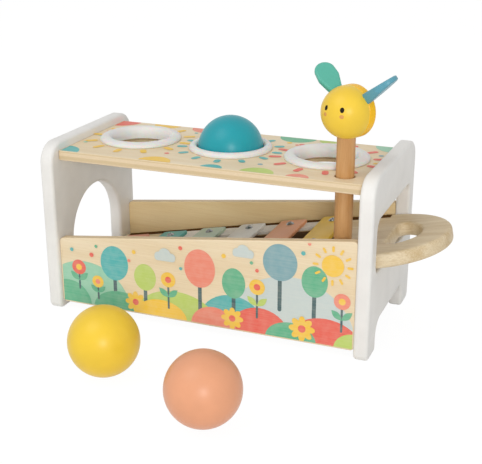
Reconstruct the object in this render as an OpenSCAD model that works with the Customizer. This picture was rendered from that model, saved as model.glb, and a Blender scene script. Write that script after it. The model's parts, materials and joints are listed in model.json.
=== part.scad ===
// Ball pounding bench with a slide-out xylophone, a hammer and three balls.
// Millimetres, +Z up. The bench runs along X, its front faces -Y, and the floor is z = 0.

/* [Bench] */
// Distance between the two end panels
inner_length = 220; // [202:1:260]
// Thickness of an end panel
panel_t = 10; // [8.5:0.5:14]
// Depth of an end panel, front to back
panel_depth = 118; // [112:1:140]
// Height of the end panels above the top board
panel_over = 6; // [3:0.5:20]
// Radius of the two upper corners of an end panel
panel_corner_r = 15; // [8:1:24]
// Radius of the outer corners of the feet
foot_corner_r = 5; // [4:1:14]
// Roundover along the outline of an end panel
panel_edge_r = 2.5; // [1:0.5:3.5]
// Eased edge round the openings of the end panels
opening_ease = 1.5; // [0.5:0.5:2.5]

/* [Openings in the end panels] */
// Width of the doorway that the balls leave by
door_w = 70; // [56:1:84]
// Height of the doorway's round top
door_h = 80; // [66:1:94]
// Clear height of the window that the xylophone is pulled out through
window_h = 36; // [26:1:42]
// Corner radius of the window
window_r = 7; // [3:1:12]
// Gap between the xylophone's base and the window's sill
sill_clear = 1.2; // [0.5:0.1:3]
// Width of the gap between the feet of the right panel
foot_gap_w = 76; // [50:1:84]
// Height of the gap between the feet
foot_gap_h = 19.5; // [12:0.5:32]
// Upper corner radius of the gap between the feet
foot_gap_r = 10; // [4:1:12]

/* [Top board] */
// Height of the top board's upper face
top_z = 118; // [108:1:140]
// Thickness of the top board
top_t = 7; // [6:0.5:10]
// Distance from the end panels' front edge to the top board
top_set_front = 9; // [5:0.5:14]
// Distance from the end panels' rear edge to the top board
top_set_rear = 12.5; // [5:0.5:16]

/* [Side walls] */
// Thickness of the front and back walls
wall_t = 6; // [5:0.5:9]
// Distance from the end panels' edge to a wall's outer face
wall_set = 3.5; // [1:0.5:6]
// Height of the walls' lower edge above the floor
wall_foot = 5.5; // [3:0.5:8]
// Height of the front wall at its left end
wall_left_h = 54; // [44:0.5:70]
// Height of the front wall over the xylophone's base, at the right end
wall_over_base = 11.5; // [11:0.5:20]
// How much lower the back wall's upper edge lies
back_drop = 4; // [0:0.5:8]
// Corner radius of the walls
wall_r = 3; // [1:0.5:6]

/* [Joining pegs] */
// Diameter of a joining peg
peg_d = 3; // [2.5:0.5:3.5]
// Wood left between a peg's end and an end panel's outer face
peg_cover = 3; // [2:0.5:4]
// Depth of a peg in a board's end
peg_in_board = 9; // [6:0.5:14]
// Distance of the top board's pegs from the board's middle
top_peg_y = 28; // [15:1:36]
// Distance of the walls' pegs from the walls' edges
wall_peg_inset = 12; // [8:1:18]
// Radial glue gap round a peg
peg_fit = 0.05; // [0.02:0.01:0.15]
// Spare depth past a peg's end
peg_end_gap = 0.5; // [0.2:0.1:1]

/* [Pounding holes] */
// Gap between an end panel and the next collar
collar_end_gap = 9.5; // [5:0.5:16]
// Place of the holes, front to back
hole_y = 1; // [-5:0.5:12]
// Width of a collar's flange past its sleeve
flange_w = 4.5; // [3:0.5:7]
// Thickness of the stretched collar's sleeve
sleeve_t = 1.65; // [1:0.05:2.5]
// Height of a collar's flange above the top board
flange_h = 2.6; // [1.5:0.1:4]
// Depth of a collar's sleeve in the top board
sleeve_depth = 5; // [3:0.5:6]
// How much smaller a slack collar's hole is than a ball
collar_grip = 6; // [1:0.5:8]
// Round inner lip of a collar
lip_r = 2; // [0.4:0.1:2.4]
// Glue gap between a collar's sleeve and the top board
sleeve_fit = 0.05; // [0.02:0.01:0.2]
// Thickness of the strip under the top board that backs the pounding holes
strip_t = 2.2; // [1.5:0.1:4]
// Radial room round a ball in that strip
strip_room = 0.8; // [0.4:0.1:2]
// Width of that strip past its holes
strip_rim = 5; // [4:0.5:8]

/* [Balls] */
// Diameter of a ball
ball_d = 46; // [44.5:0.5:52]
// Height of the held ball's middle above the top board
ball_rise = 0.5; // [-2:0.5:8]
// Gap between the held ball and its stretched collar
ball_clear = 0.35; // [0.2:0.05:0.5]
// Place of the yellow ball, along the bench
yellow_x = -31.7; // [-70:0.1:-20]
// Place of the yellow ball, in front of the bench
yellow_y = -133.3; // [-160:0.1:-110]
// Place of the coral ball, along the bench
coral_x = 51.2; // [40:0.1:90]
// Place of the coral ball, in front of the bench
coral_y = -166.1; // [-190:0.1:-150]

/* [Hammer] */
// Distance of the hammer from the right panel
hammer_inset = 16; // [10:0.1:22]
// Place of the hammer, front to back
hammer_y = -35.2; // [-38:0.1:-33]
// Diameter of the hammer's handle
dowel_d = 12; // [10:0.5:14]
// Radial room round the handle in the top board
dowel_room = 0.6; // [0.3:0.1:1.5]
// Chamfer at the foot of the handle
dowel_chamfer = 1; // [0.5:0.5:2]
// Height of the head's middle above the top board
head_rise = 41.8; // [36:0.1:60]
// Diameter of the hammer's head
head_d = 33.8; // [32:0.1:38]
// Length of the head behind its dome
head_back = 9; // [8:0.5:14]
// Round rim of the head's flat back
head_rim_r = 2.5; // [1:0.5:4]
// Turn of the face away from straight ahead
face_turn = -26; // [-30:1:30]
// Height of the handle's upper end over the head's middle
dowel_in_head = 1; // [-4:0.5:3]
// Radial glue gap of the handle and of the ears in the head
head_fit = 0.1; // [0.05:0.05:0.2]
// Diameter of the peg inside the front wall that carries the hammer
rest_d = 3; // [2.5:0.5:6]
// Gap between that peg and the keys and screws that pass it
rest_clear = 0.6; // [0.5:0.1:1.5]
// Wood left between that peg's end and the front wall's outer face
rest_cover = 1.5; // [1:0.1:2]
// Gap under the hammer's handle
rest_gap = 0.2; // [0.1:0.1:0.5]

/* [Ears] */
// Length of an ear outside the head
ear_l = 23.8; // [18:0.1:32]
// Widest part of an ear
ear_w = 14.1; // [12:0.1:20]
// Distance of an ear's widest part from the head
ear_belly = 12.4; // [10:0.2:14]
// Width of an ear's round tip
ear_tip_w = 13.5; // [9:0.1:14]
// Width of an ear at the head
ear_root_w = 7.2; // [6:0.1:11]
// Thickness of an ear at the head
ear_root_t = 7.3; // [5:0.1:8]
// Thickness of an ear at its tip
ear_tip_t = 3; // [2.8:0.1:5]
// Round edge of an ear
ear_edge_r = 1.3; // [0.8:0.1:1.3]
// Depth of an ear in the head
ear_seat = 4; // [3:0.5:5]
// Lean of the ears to the sides
ear_out = 51; // [20:1:60]
// Lean of the ears to the back
ear_back = 8; // [0:1:45]
// Turn of the ears about their own length
ear_toe = 13; // [-20:1:20]
// How high the ears start on the head, in degrees above its middle
ear_rise = 38; // [22:1:45]
// How far back the ears start on the head, in degrees behind its middle
ear_aft = 17; // [0:1:22]

/* [Xylophone] */
// Slope of the xylophone
slope = 11.5; // [9:0.1:12.5]
// Gap between the base and the walls beside it
base_side_clear = 5; // [3:0.5:6]
// Thickness of the base
base_t = 10; // [9:0.5:11]
// Roundover along the base's edges
base_edge_r = 2.5; // [1:0.5:4]
// Height of the base's upper face where it meets the right panel
base_exit_z = 69; // [64:0.5:76]
// Gap between the base and the left panel, which stops it
stop_gap = 0.3; // [0.2:0.1:1]
// Gap between the base and the edges of the window
window_side_clear = 2; // [1.5:0.5:3]
// Middle of the round handle past the right panel's inner face
handle_out = 4.5; // [3:0.5:20]
// Radius of the hand hole
loop_r = 24.5; // [18:0.5:30]
// Straight side of the hand hole past the handle's middle
loop_flat = 4; // [2:0.5:8]
// Depth of the sound hollow under the keys
hollow_depth = 6.5; // [3:0.5:7.5]
// Distance between the sound hollow and the rails
hollow_margin = 1.5; // [0.5:0.5:3]

/* [Keys] */
// Distance between the keys
key_pitch = 32; // [26:0.5:35]
// Middle of the shortest key, from the base's lower end
key_first = 24.5; // [20:0.5:28]
// Width of a key
key_w = 20; // [16:0.5:24]
// Thickness of a key
key_t = 2.5; // [2:0.1:3]
// Corner radius of a key
key_r = 2; // [1:0.5:5]
// Length of a key past its screw
key_over = 10; // [6:0.5:14]
// Distance of the shortest key's screws from the middle
screw_y_first = 11.5; // [11:0.5:14]
// How much further out each next key's screws are
screw_y_step = 2.3; // [2:0.1:4]
// Width of a rail
rail_w = 8; // [6:0.5:10]
// Height of a rail
rail_h = 2.6; // [2:0.1:3]
// Diameter of a key screw's shank
screw_d = 3; // [2.5:0.1:3.5]
// Diameter of a key screw's head
screw_head_d = 6; // [5.5:0.1:7]
// Height of a key screw's head
screw_head_h = 1.8; // [1.2:0.1:2]
// Depth of a key screw in the base
screw_in_base = 6; // [4:0.5:8]
// Radial room round a screw in a key and a rail
screw_room = 0.3; // [0.2:0.1:0.5]
// Radial gap round a screw in the base
screw_fit = 0.05; // [0.02:0.01:0.1]

/* [Runners] */
// Width of a runner
runner_w = 12; // [9:0.5:15]
// Height of a runner
runner_h = 8; // [4:0.5:9]
// Gap between the base and its runners
runner_clear = 0.2; // [0.1:0.1:0.5]
// Distance from the base's lower end to a runner
runner_start = 6; // [4:1:20]
// How much shorter a runner is than the space between the end panels
runner_short = 21; // [16:1:80]

/* [Hidden] */
$fn = 96;
// Steps round the parts of a rounded hull
hull_fn = 32;
// How far a cut runs past the face that it opens
over = 1;

paint_white = "#E9E8E4";
ply = "#E6CDA2";
ply_shaded = "#D9BC8C";
beech = "#D8B98C";
beech_dark = "#BE8C5A";
soft_white = "#F1F0EC";
teal = "#2C9BA8";
yellow = "#EDC43F";
coral = "#EBA482";
mint = "#62B9A0";
blue = "#5FA9BE";
steel = "#B9BCBE";
felt = "#E4E3DF";
key_colours = ["#E0785F", "#5F9A98", "#A9C3AE", "#C9CDCB", "#D79C7C", "#E0BE4A"];

half_length = inner_length / 2;
half_depth = panel_depth / 2;
panel_h = top_z + panel_over;
peg_in_panel = panel_t - peg_cover;
wall_out_y = half_depth - wall_set;
wall_in_y = wall_out_y - wall_t;
wall_right_h = base_exit_z + wall_over_base;
half_base = wall_in_y - base_side_clear;
top_front_y = top_set_front - half_depth;
top_rear_y = half_depth - top_set_rear;
top_mid_y = (top_front_y + top_rear_y) / 2;

ball_r = ball_d / 2;
stretched_hole_d = ball_d + 2 * ball_clear;
slack_hole_d = ball_d - collar_grip;
sleeve_d = stretched_hole_d + 2 * sleeve_t;
collar_d = sleeve_d + 2 * flange_w;
hole_pitch = half_length - collar_end_gap - collar_d / 2;
strip_hole_d = ball_d + 2 * strip_room;
strip_w = strip_hole_d + 2 * strip_rim;

// The slope starts at the upper edge of the base's lower end
slope_x = stop_gap - half_length;
slope_z = base_exit_z - (inner_length - stop_gap) * tan(slope);
handle_u = (half_length + handle_out - slope_x) / cos(slope);
handle_tip_x = slope_x + (handle_u + half_base - base_edge_r) * cos(slope)
    + (base_t - base_edge_r) * sin(slope) + base_edge_r;
window_w = 2 * (half_base + window_side_clear);
window_z = base_exit_z - base_t / cos(slope) - sill_clear;

// The bench stands so that the whole set, with the loose balls, is centred on the origin
set_left = -half_length - panel_t;
set_front = min(yellow_y, coral_y) - ball_r;
bench_x = -(set_left + handle_tip_x) / 2;
bench_y = -(set_front + half_depth) / 2;

function key_u(i) = key_first + i * key_pitch;
function screw_y(u) = screw_y_first + (u - key_first) * screw_y_step / key_pitch;

key_count = len(key_colours);
key_top = rail_h + key_t;
rail_from = key_u(0) - key_w / 2;
rail_to = key_u(key_count - 1) + key_w / 2;
runner_l = inner_length - runner_short;

// Height of the keys' upper faces, wherever the xylophone has been pulled to
function keys_z(x) = slope_z + (x - slope_x) * tan(slope) + key_top / cos(slope);

// The hammer stands on a peg that clears the keys below it and the screws beside it
hammer_x = half_length - hammer_inset;
head_r = head_d / 2;
head_z = top_z + head_rise;
rest_z = keys_z(hammer_x + rest_d / 2) + rest_clear + rest_d / 2;
rest_seat = wall_t - rest_cover;
rest_end_y = -screw_y(key_u(key_count - 1)) - screw_head_d / 2 - rest_clear;
dowel_foot_z = rest_z + rest_d / 2 + rest_gap;
dowel_top_z = head_z + dowel_in_head;

// Places

module bench() {
    translate([bench_x, bench_y, 0]) children();
}

// Local x runs up the slope, local z is square to it, and z = 0 is the base's upper face
module on_slope() {
    bench() translate([slope_x, 0, slope_z]) rotate([0, -slope, 0]) children();
}

// The head's own frame: the face looks along -Y
module in_head() {
    bench() translate([hammer_x, hammer_y, head_z]) rotate([0, 0, face_turn]) children();
}

// Draws a profile in the YZ plane and extrudes it along X
module across() {
    rotate([90, 0, 90]) children();
}

// Shapes that repeat

// Section of a bar with round edges
module round_bar(w, t, edge) {
    square([w - 2 * edge, t], center = true);
    square([w, t - 2 * edge], center = true);
    for (x = [-1, 1], y = [-1, 1])
        translate([x * (w / 2 - edge), y * (t / 2 - edge)]) circle(edge);
}

// A disc with a rounded rim, lying flat
module round_disc(r, t, edge) {
    rotate_extrude() intersection() {
        round_bar(2 * r, t, edge);
        translate([0, -t / 2]) square([r, t]);
    }
}

// Half section of a cut through an end panel, flared at both faces
module flare(r) {
    polygon([[0, -panel_t / 2 - over], [r + opening_ease + over, -panel_t / 2 - over],
        [r, opening_ease - panel_t / 2], [r, panel_t / 2 - opening_ease],
        [r + opening_ease + over, panel_t / 2 + over], [0, panel_t / 2 + over]]);
}

module flare_both(r) {
    for (s = [0, 1]) mirror([s, 0]) flare(r);
}

// A rounded opening through an end panel, with eased edges, about its own middle
module eased_opening(w, h, r) {
    across() {
        rotate([-90, 0, 0]) linear_extrude(h - 2 * r, center = true) flare_both(w / 2);
        if (w > 2 * r) across() linear_extrude(w - 2 * r, center = true) flare_both(h / 2);
        for (x = w > 2 * r ? [-1, 1] : [0], y = [-1, 1])
            translate([x * (w / 2 - r), y * (h / 2 - r), 0]) rotate_extrude() flare(r);
    }
}

// The outline that both end panels are cut from, standing across X on the floor
module panel_blank() {
    across() {
        translate([0, foot_corner_r, 0]) rotate([-90, 0, 0])
            linear_extrude(panel_h - panel_corner_r - foot_corner_r)
                round_bar(panel_depth, panel_t, panel_edge_r);
        translate([0, panel_h / 2, 0]) across()
            linear_extrude(panel_depth - 2 * max(panel_corner_r, foot_corner_r), center = true)
                round_bar(panel_h, panel_t, panel_edge_r);
        panel_end(foot_corner_r, foot_corner_r, panel_h / 4);
        panel_end(panel_corner_r, panel_h - panel_corner_r, panel_h * 3 / 4);
    }
}

// One end of a panel's outline: two round corners, and the edge between them
module panel_end(r, disc_z, bar_z) {
    for (s = [-1, 1]) translate([s * (half_depth - r), disc_z, 0]) round_disc(r, panel_t, panel_edge_r);
    translate([0, bar_z, 0]) across() linear_extrude(panel_depth - 2 * r, center = true)
        round_bar(panel_h / 2, panel_t, panel_edge_r);
}

// The places of the joining pegs at one end of the bench, as [y, z] pairs
function top_peg_places() = [for (s = [-1, 1]) [top_mid_y + s * top_peg_y, top_z - top_t / 2]];
function wall_peg_places(side, front) = [for (z = [wall_foot + wall_peg_inset,
        wall_end_h(side, front) - wall_peg_inset]) [(front ? -1 : 1) * (wall_out_y - wall_t / 2), z]];
function wall_end_h(side, front) = (side < 0 ? wall_left_h : wall_right_h) - (front ? 0 : back_drop);
function all_peg_places(side) = concat(top_peg_places(), wall_peg_places(side, true),
    wall_peg_places(side, false));

// Joining pegs of one board, or the bores that they are glued into
module pegs(side, places, grow = 0, end = 0) {
    for (p = places)
        translate([side * half_length, p[0], p[1]]) rotate([0, 90, 0])
            translate([0, 0, side < 0 ? -peg_in_panel - end : -peg_in_board - end])
                cylinder(d = peg_d + 2 * grow, h = peg_in_panel + peg_in_board + 2 * end);
}

module peg_bores(side, places) {
    pegs(side, places, peg_fit, peg_end_gap);
}

// Bench

module left_end_panel() {
    color(paint_white) bench() difference() {
        translate([-half_length - panel_t / 2, 0, 0]) difference() {
            panel_blank();
            eased_opening(door_w, 2 * door_h, door_w / 2);
        }
        peg_bores(-1, all_peg_places(-1));
    }
}

module right_end_panel() {
    color(paint_white) bench() difference() {
        translate([half_length + panel_t / 2, 0, 0]) difference() {
            panel_blank();
            eased_opening(foot_gap_w, 2 * foot_gap_h, foot_gap_r);
            translate([0, 0, window_z + window_h / 2]) eased_opening(window_w, window_h, window_r);
        }
        peg_bores(1, all_peg_places(1));
    }
}

// Bores for the three pounding holes and for the hammer, through the top board or the strip under it
module top_bores(d) {
    for (i = [-1:1]) translate([i * hole_pitch, hole_y, top_z - top_t - strip_t - over])
        cylinder(d = d, h = top_t + strip_t + 2 * over);
    translate([hammer_x, hammer_y, top_z - top_t - strip_t - over])
        cylinder(d = dowel_d + 2 * dowel_room, h = top_t + strip_t + 2 * over);
}

module top_board() {
    color(ply) bench() difference() {
        translate([-half_length, top_front_y, top_z - top_t])
            cube([inner_length, top_rear_y - top_front_y, top_t]);
        top_bores(sleeve_d + 2 * sleeve_fit);
        for (side = [-1, 1]) peg_bores(side, top_peg_places());
    }
}

// A thin strip glued under the top board, with a clear hole for a ball under each collar
module collar_strip() {
    color(ply_shaded) bench() difference() {
        translate([-hole_pitch - strip_w / 2, hole_y - strip_w / 2, top_z - top_t - strip_t])
            cube([2 * hole_pitch + strip_w, strip_w, strip_t]);
        top_bores(strip_hole_d);
    }
}

// A wall's outline: its upper edge rises to the right
module wall_shape(front) {
    hull() for (side = [-1, 1], z = [wall_foot + wall_r, wall_end_h(side, front) - wall_r])
        translate([side * (half_length - wall_r), z]) circle(wall_r, $fn = hull_fn);
}

module wall(front) {
    difference() {
        translate([0, front ? -wall_in_y : wall_out_y, 0]) rotate([90, 0, 0])
            linear_extrude(wall_t) wall_shape(front);
        for (side = [-1, 1]) peg_bores(side, wall_peg_places(side, front));
    }
}

module front_wall() {
    color(ply) bench() difference() {
        wall(true);
        rest_peg(peg_fit, peg_end_gap);
    }
}

module back_wall() {
    color(ply_shaded) bench() wall(false);
}

module top_pegs() {
    color(beech) bench() for (side = [-1, 1]) pegs(side, top_peg_places());
}

module front_wall_pegs() {
    color(beech) bench() for (side = [-1, 1]) pegs(side, wall_peg_places(side, true));
}

module back_wall_pegs() {
    color(beech) bench() for (side = [-1, 1]) pegs(side, wall_peg_places(side, false));
}

// A strip inside a wall that the xylophone's base slides on
module runner(s) {
    translate([runner_start, s > 0 ? wall_in_y - runner_w : -wall_in_y,
            -base_t - runner_clear - runner_h])
        cube([runner_l, runner_w, runner_h]);
}

module front_runner() {
    color(beech) on_slope() runner(-1);
}

module back_runner() {
    color(beech) on_slope() runner(1);
}

// The peg inside the front wall that the hammer's handle stands on
module rest_peg(grow = 0, end = 0) {
    translate([hammer_x, -wall_in_y - rest_seat - end, rest_z]) rotate([-90, 0, 0])
        cylinder(d = rest_d + 2 * grow, h = rest_seat + end + wall_in_y + rest_end_y);
}

module hammer_rest() {
    color(beech_dark) bench() rest_peg();
}

// Pounding holes

// Half section of a collar: a flange with a round rim and lip, on a sleeve in the top board
module collar_section(hole_d) {
    difference() {
        union() {
            translate([hole_d / 2, -sleeve_depth])
                square([(sleeve_d - hole_d) / 2, sleeve_depth + flange_h]);
            translate([hole_d / 2, 0]) square([(collar_d - hole_d - flange_h) / 2, flange_h]);
            translate([(collar_d - flange_h) / 2, flange_h / 2]) circle(d = flange_h);
        }
        translate([hole_d / 2, flange_h - lip_r]) difference() {
            translate([-over, 0]) square([lip_r + over, lip_r + over]);
            translate([lip_r, 0]) circle(lip_r);
        }
    }
}

module collar(place, hole_d) {
    color(soft_white) bench() translate([place * hole_pitch, hole_y, top_z])
        rotate_extrude() collar_section(hole_d);
}

module left_collar() collar(-1, slack_hole_d);
module middle_collar() collar(0, stretched_hole_d);
module right_collar() collar(1, slack_hole_d);

// Balls

module teal_ball() {
    color(teal) bench() translate([0, hole_y, top_z + ball_rise]) sphere(d = ball_d);
}

module yellow_ball() {
    color(yellow) bench() translate([yellow_x, yellow_y, ball_r]) sphere(d = ball_d);
}

module coral_ball() {
    color(coral) bench() translate([coral_x, coral_y, ball_r]) sphere(d = ball_d);
}

// Hammer

module hammer_dowel(grow = 0) {
    translate([hammer_x, hammer_y, 0]) {
        translate([0, 0, dowel_foot_z + dowel_chamfer])
            cylinder(d = dowel_d + 2 * grow, h = dowel_top_z - dowel_foot_z - dowel_chamfer + grow);
        translate([0, 0, dowel_foot_z])
            cylinder(d1 = dowel_d - 2 * dowel_chamfer, d2 = dowel_d, h = dowel_chamfer);
    }
}

module hammer_handle() {
    color(beech_dark) bench() hammer_dowel();
}

// Half section of the head, turned about the line through the face
module head_section() {
    intersection() {
        circle(head_r);
        square(head_r);
    }
    translate([0, head_rim_r - head_back]) square([head_r, head_back - head_rim_r]);
    translate([0, -head_back]) square([head_r - head_rim_r, head_rim_r + over]);
    translate([head_r - head_rim_r, head_rim_r - head_back]) circle(head_rim_r);
}

module hammer_head() {
    color(yellow) difference() {
        in_head() rotate([90, 0, 0]) rotate_extrude() head_section();
        bench() hammer_dowel(head_fit);
        for (side = [-1, 1]) ear(side, head_fit);
    }
}

// One of the three discs that an ear is drawn round
module ear_disc(r, z, t, grow) {
    translate([0, 0, z]) rotate([0, 90, 0])
        round_disc(r + grow, t + 2 * grow, ear_edge_r, $fn = hull_fn);
}

// An ear, or the slot in the head that it is glued into: a wide thin end on a narrow thick root
module ear(side, grow = 0) {
    root_r = ear_root_w / 2;
    tip_r = ear_tip_w / 2;
    in_head() rotate([0, 0, side * ear_aft])
        translate([side * head_r * cos(ear_rise), 0, head_r * sin(ear_rise)])
            rotate([0, 0, -side * ear_aft]) rotate([-ear_back, side * ear_out, 0])
                rotate([0, 0, side * ear_toe]) hull() {
                    ear_disc(tip_r, ear_l - tip_r, ear_tip_t, grow);
                    ear_disc(ear_w / 2, ear_belly, ear_tip_t, grow);
                    ear_disc(root_r, root_r - ear_seat, ear_root_t, grow);
                }
}

module left_ear() {
    color(mint) ear(-1);
}

module right_ear() {
    color(blue) ear(1);
}

// Xylophone

// Section of the base's edge: half of a bar with round edges
module base_half_section() {
    translate([0, -base_t]) square([half_base - base_edge_r, base_t]);
    translate([0, base_edge_r - base_t]) square([half_base, base_t - 2 * base_edge_r]);
    for (z = [-base_edge_r, base_edge_r - base_t])
        translate([half_base - base_edge_r, z]) circle(base_edge_r);
}

// The straight part of the base and its round handle end
module base_blank() {
    across() linear_extrude(handle_u) for (s = [0, 1]) mirror([s, 0]) base_half_section();
    translate([handle_u, 0, 0]) rotate([0, 0, -90]) rotate_extrude(angle = 180) base_half_section();
}

// The hand hole: a round hole with a straight side towards the keys
module hand_hole() {
    translate([handle_u, 0, -base_t - over]) intersection() {
        cylinder(r = loop_r, h = base_t + 2 * over);
        translate([loop_flat, -loop_r, 0]) cube([loop_r, 2 * loop_r, base_t + 2 * over]);
    }
}

// Half width of the sound hollow, which widens with the rails
function hollow_y(u) = screw_y(u) - rail_w / 2 - hollow_margin;

module sound_hollow() {
    translate([0, 0, -hollow_depth]) linear_extrude(hollow_depth + over)
        polygon([[rail_from, -hollow_y(rail_from)], [rail_to, -hollow_y(rail_to)],
            [rail_to, hollow_y(rail_to)], [rail_from, hollow_y(rail_from)]]);
}

// Places something at every key screw
module at_screws() {
    for (i = [0:key_count - 1], s = [-1, 1])
        translate([key_u(i), s * screw_y(key_u(i)), 0]) children();
}

module xylophone_base() {
    color(beech) on_slope() difference() {
        base_blank();
        hand_hole();
        sound_hollow();
        at_screws() translate([0, 0, -screw_in_base - peg_end_gap])
            cylinder(d = screw_d + 2 * screw_fit, h = screw_in_base + peg_end_gap + over);
    }
}

// A rail under the keys: it runs outwards as the keys get longer
module rail(s) {
    color(felt) on_slope() difference() {
        linear_extrude(rail_h) polygon([for (u = [rail_from, rail_to], e = [-1, 1])
            [u, s * screw_y(u) + (u == rail_from ? e : -e) * rail_w / 2]]);
        at_screws() translate([0, 0, -over])
            cylinder(d = screw_d + 2 * screw_room, h = rail_h + 2 * over);
    }
}

module front_rail() rail(-1);
module back_rail() rail(1);

module key(i) {
    key_l = 2 * (screw_y(key_u(i)) + key_over);
    color(key_colours[i]) on_slope() difference() {
        translate([key_u(i), 0, rail_h]) linear_extrude(key_t) hull()
            for (x = [-1, 1], y = [-1, 1])
                translate([x * (key_w / 2 - key_r), y * (key_l / 2 - key_r)]) circle(key_r, $fn = hull_fn);
        at_screws() translate([0, 0, rail_h - over])
            cylinder(d = screw_d + 2 * screw_room, h = key_t + 2 * over);
    }
}

module key_1() key(0);
module key_2() key(1);
module key_3() key(2);
module key_4() key(3);
module key_5() key(4);
module key_6() key(5);

// Round-head screw, seated on its key
module key_screw() {
    dome_r = (pow(screw_head_d / 2, 2) + pow(screw_head_h, 2)) / (2 * screw_head_h);
    translate([0, 0, key_top]) intersection() {
        translate([0, 0, screw_head_h - dome_r]) sphere(r = dome_r);
        cylinder(d = screw_head_d, h = screw_head_h);
    }
    translate([0, 0, -screw_in_base]) cylinder(d = screw_d, h = screw_in_base + key_top);
}

module key_screws() {
    color(steel) on_slope() at_screws() key_screw();
}

left_end_panel();
right_end_panel();
top_board();
front_wall();
back_wall();
top_pegs();
front_wall_pegs();
back_wall_pegs();
front_runner();
back_runner();
hammer_rest();
collar_strip();
left_collar();
middle_collar();
right_collar();
teal_ball();
yellow_ball();
coral_ball();
hammer_handle();
hammer_head();
left_ear();
right_ear();
xylophone_base();
front_rail();
back_rail();
key_1();
key_2();
key_3();
key_4();
key_5();
key_6();
key_screws();
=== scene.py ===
"""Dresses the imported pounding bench: finished pieces, materials, prints, stage and camera."""

import json
import math

import bmesh
import bpy
from bpy.props import FloatProperty, FloatVectorProperty, IntProperty, PointerProperty
from mathutils import Matrix, Vector
from mathutils.geometry import tessellate_polygon


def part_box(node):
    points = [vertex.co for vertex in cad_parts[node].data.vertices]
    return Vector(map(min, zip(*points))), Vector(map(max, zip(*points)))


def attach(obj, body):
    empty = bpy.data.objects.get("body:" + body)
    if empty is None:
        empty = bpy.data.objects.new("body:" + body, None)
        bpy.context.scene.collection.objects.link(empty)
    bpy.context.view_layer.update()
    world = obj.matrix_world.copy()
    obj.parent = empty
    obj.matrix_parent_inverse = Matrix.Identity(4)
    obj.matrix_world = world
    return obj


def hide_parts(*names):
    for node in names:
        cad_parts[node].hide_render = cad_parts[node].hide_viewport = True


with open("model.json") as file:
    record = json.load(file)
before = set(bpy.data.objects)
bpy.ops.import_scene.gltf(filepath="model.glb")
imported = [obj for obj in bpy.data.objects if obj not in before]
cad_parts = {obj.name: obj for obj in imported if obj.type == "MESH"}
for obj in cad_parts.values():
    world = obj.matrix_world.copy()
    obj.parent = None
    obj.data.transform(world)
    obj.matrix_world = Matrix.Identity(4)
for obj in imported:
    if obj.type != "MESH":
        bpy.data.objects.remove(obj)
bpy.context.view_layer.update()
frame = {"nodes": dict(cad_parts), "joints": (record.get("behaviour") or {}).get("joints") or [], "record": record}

bl_info = {
    "name": "Pounding bench",
    "version": (1, 0, 0),
    "blender": (4, 5, 0),
    "location": "3D View > Sidebar > Bench",
    "description": "Builds the finished pieces of a pounding bench with a slide-out xylophone",
    "category": "Object",
}

MM = 0.001
# Longest straight step along a drawn arc
ARC_STEP = 1.0 * MM
# Points of an outline this close are one point, and points of a mesh this close are welded
SAME_POINT = 0.001 * MM
WELD = 0.0001 * MM
# Steps over a rounded edge
EDGE_STEPS = 5
# Distance from the outline to the ring on each flat face, in edge radii
FACE_INSET = 1.15
# Edges that turn by more than this stay sharp
SHARP = math.radians(40)
# Steps round a large turned piece
TURNED_STEPS = 128
# Height of the first layer of ink over the wood, and of each mark over the one before it
INK_LIFT = 0.05 * MM
INK_STEP = 0.004 * MM
# Height of the bars round the holes, over every mark of the board's print
RING_LIFT = 0.2 * MM


# Settings

# Names end in _r for a radius, _l for a length, _w for a width, _h for a height, _t for a thickness,
# _d for a depth and _z for a height over the floor


def linear(text):
    """Linear RGBA from an sRGB hex colour."""
    parts = [int(text[i : i + 2], 16) / 255 for i in (1, 3, 5)]
    return tuple(c / 12.92 if c <= 0.04045 else ((c + 0.055) / 1.055) ** 2.4 for c in parts) + (1.0,)


def number(name, description, value, **kind):
    return FloatProperty(name=name, description=description, default=value, **kind)


def length(name, description, millimetres):
    return number(name, description, millimetres * MM, unit="LENGTH")


def degrees(name, description, value):
    return number(name, description, math.radians(value), subtype="ANGLE")


def count(name, description, value):
    return IntProperty(name=name, description=description, default=value)


def offset(name, description, metres):
    return FloatVectorProperty(
        name=name, description=description, default=metres, unit="LENGTH", subtype="TRANSLATION"
    )


def colour(name, description, text):
    return FloatVectorProperty(
        name=name, description=description, default=linear(text), size=4, min=0, max=1, subtype="COLOR"
    )


def group(name, description, kind):
    return PointerProperty(name=name, description=description, type=kind)


class EndPanelSettings(bpy.types.PropertyGroup):
    corner_r: length("Upper corners", "Radius of the two upper corners", 15)
    foot_r: length("Feet, outside", "Radius of the outer corners of the feet", 5)
    foot_inner_r: length("Feet, inside", "Radius of the inner corners of the feet", 3)
    edge_r: length("Edge", "Roundover along the outline", 2.3)
    door_w: length("Doorway width", "Width of the doorway in the left panel", 70)
    door_h: length("Doorway height", "Height of the doorway's round top", 80)
    window_w: length("Window width", "Width of the window in the right panel", 93)
    window_h: length("Window height", "Clear height of the window", 36)
    window_z: length("Window sill", "Height of the window's sill", 57.6)
    window_r: length("Window corners", "Corner radius of the window", 7)
    window_edge_r: length("Window edge", "Roundover along the window", 1.8)
    gap_w: length("Foot gap width", "Width of the gap between the right panel's feet", 76)
    gap_h: length("Foot gap height", "Height of the gap between the right panel's feet", 19.5)
    gap_r: length("Foot gap corners", "Upper corner radius of the gap", 10)
    paint: colour("Paint", "White lacquer", "#ECEAE6")


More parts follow.
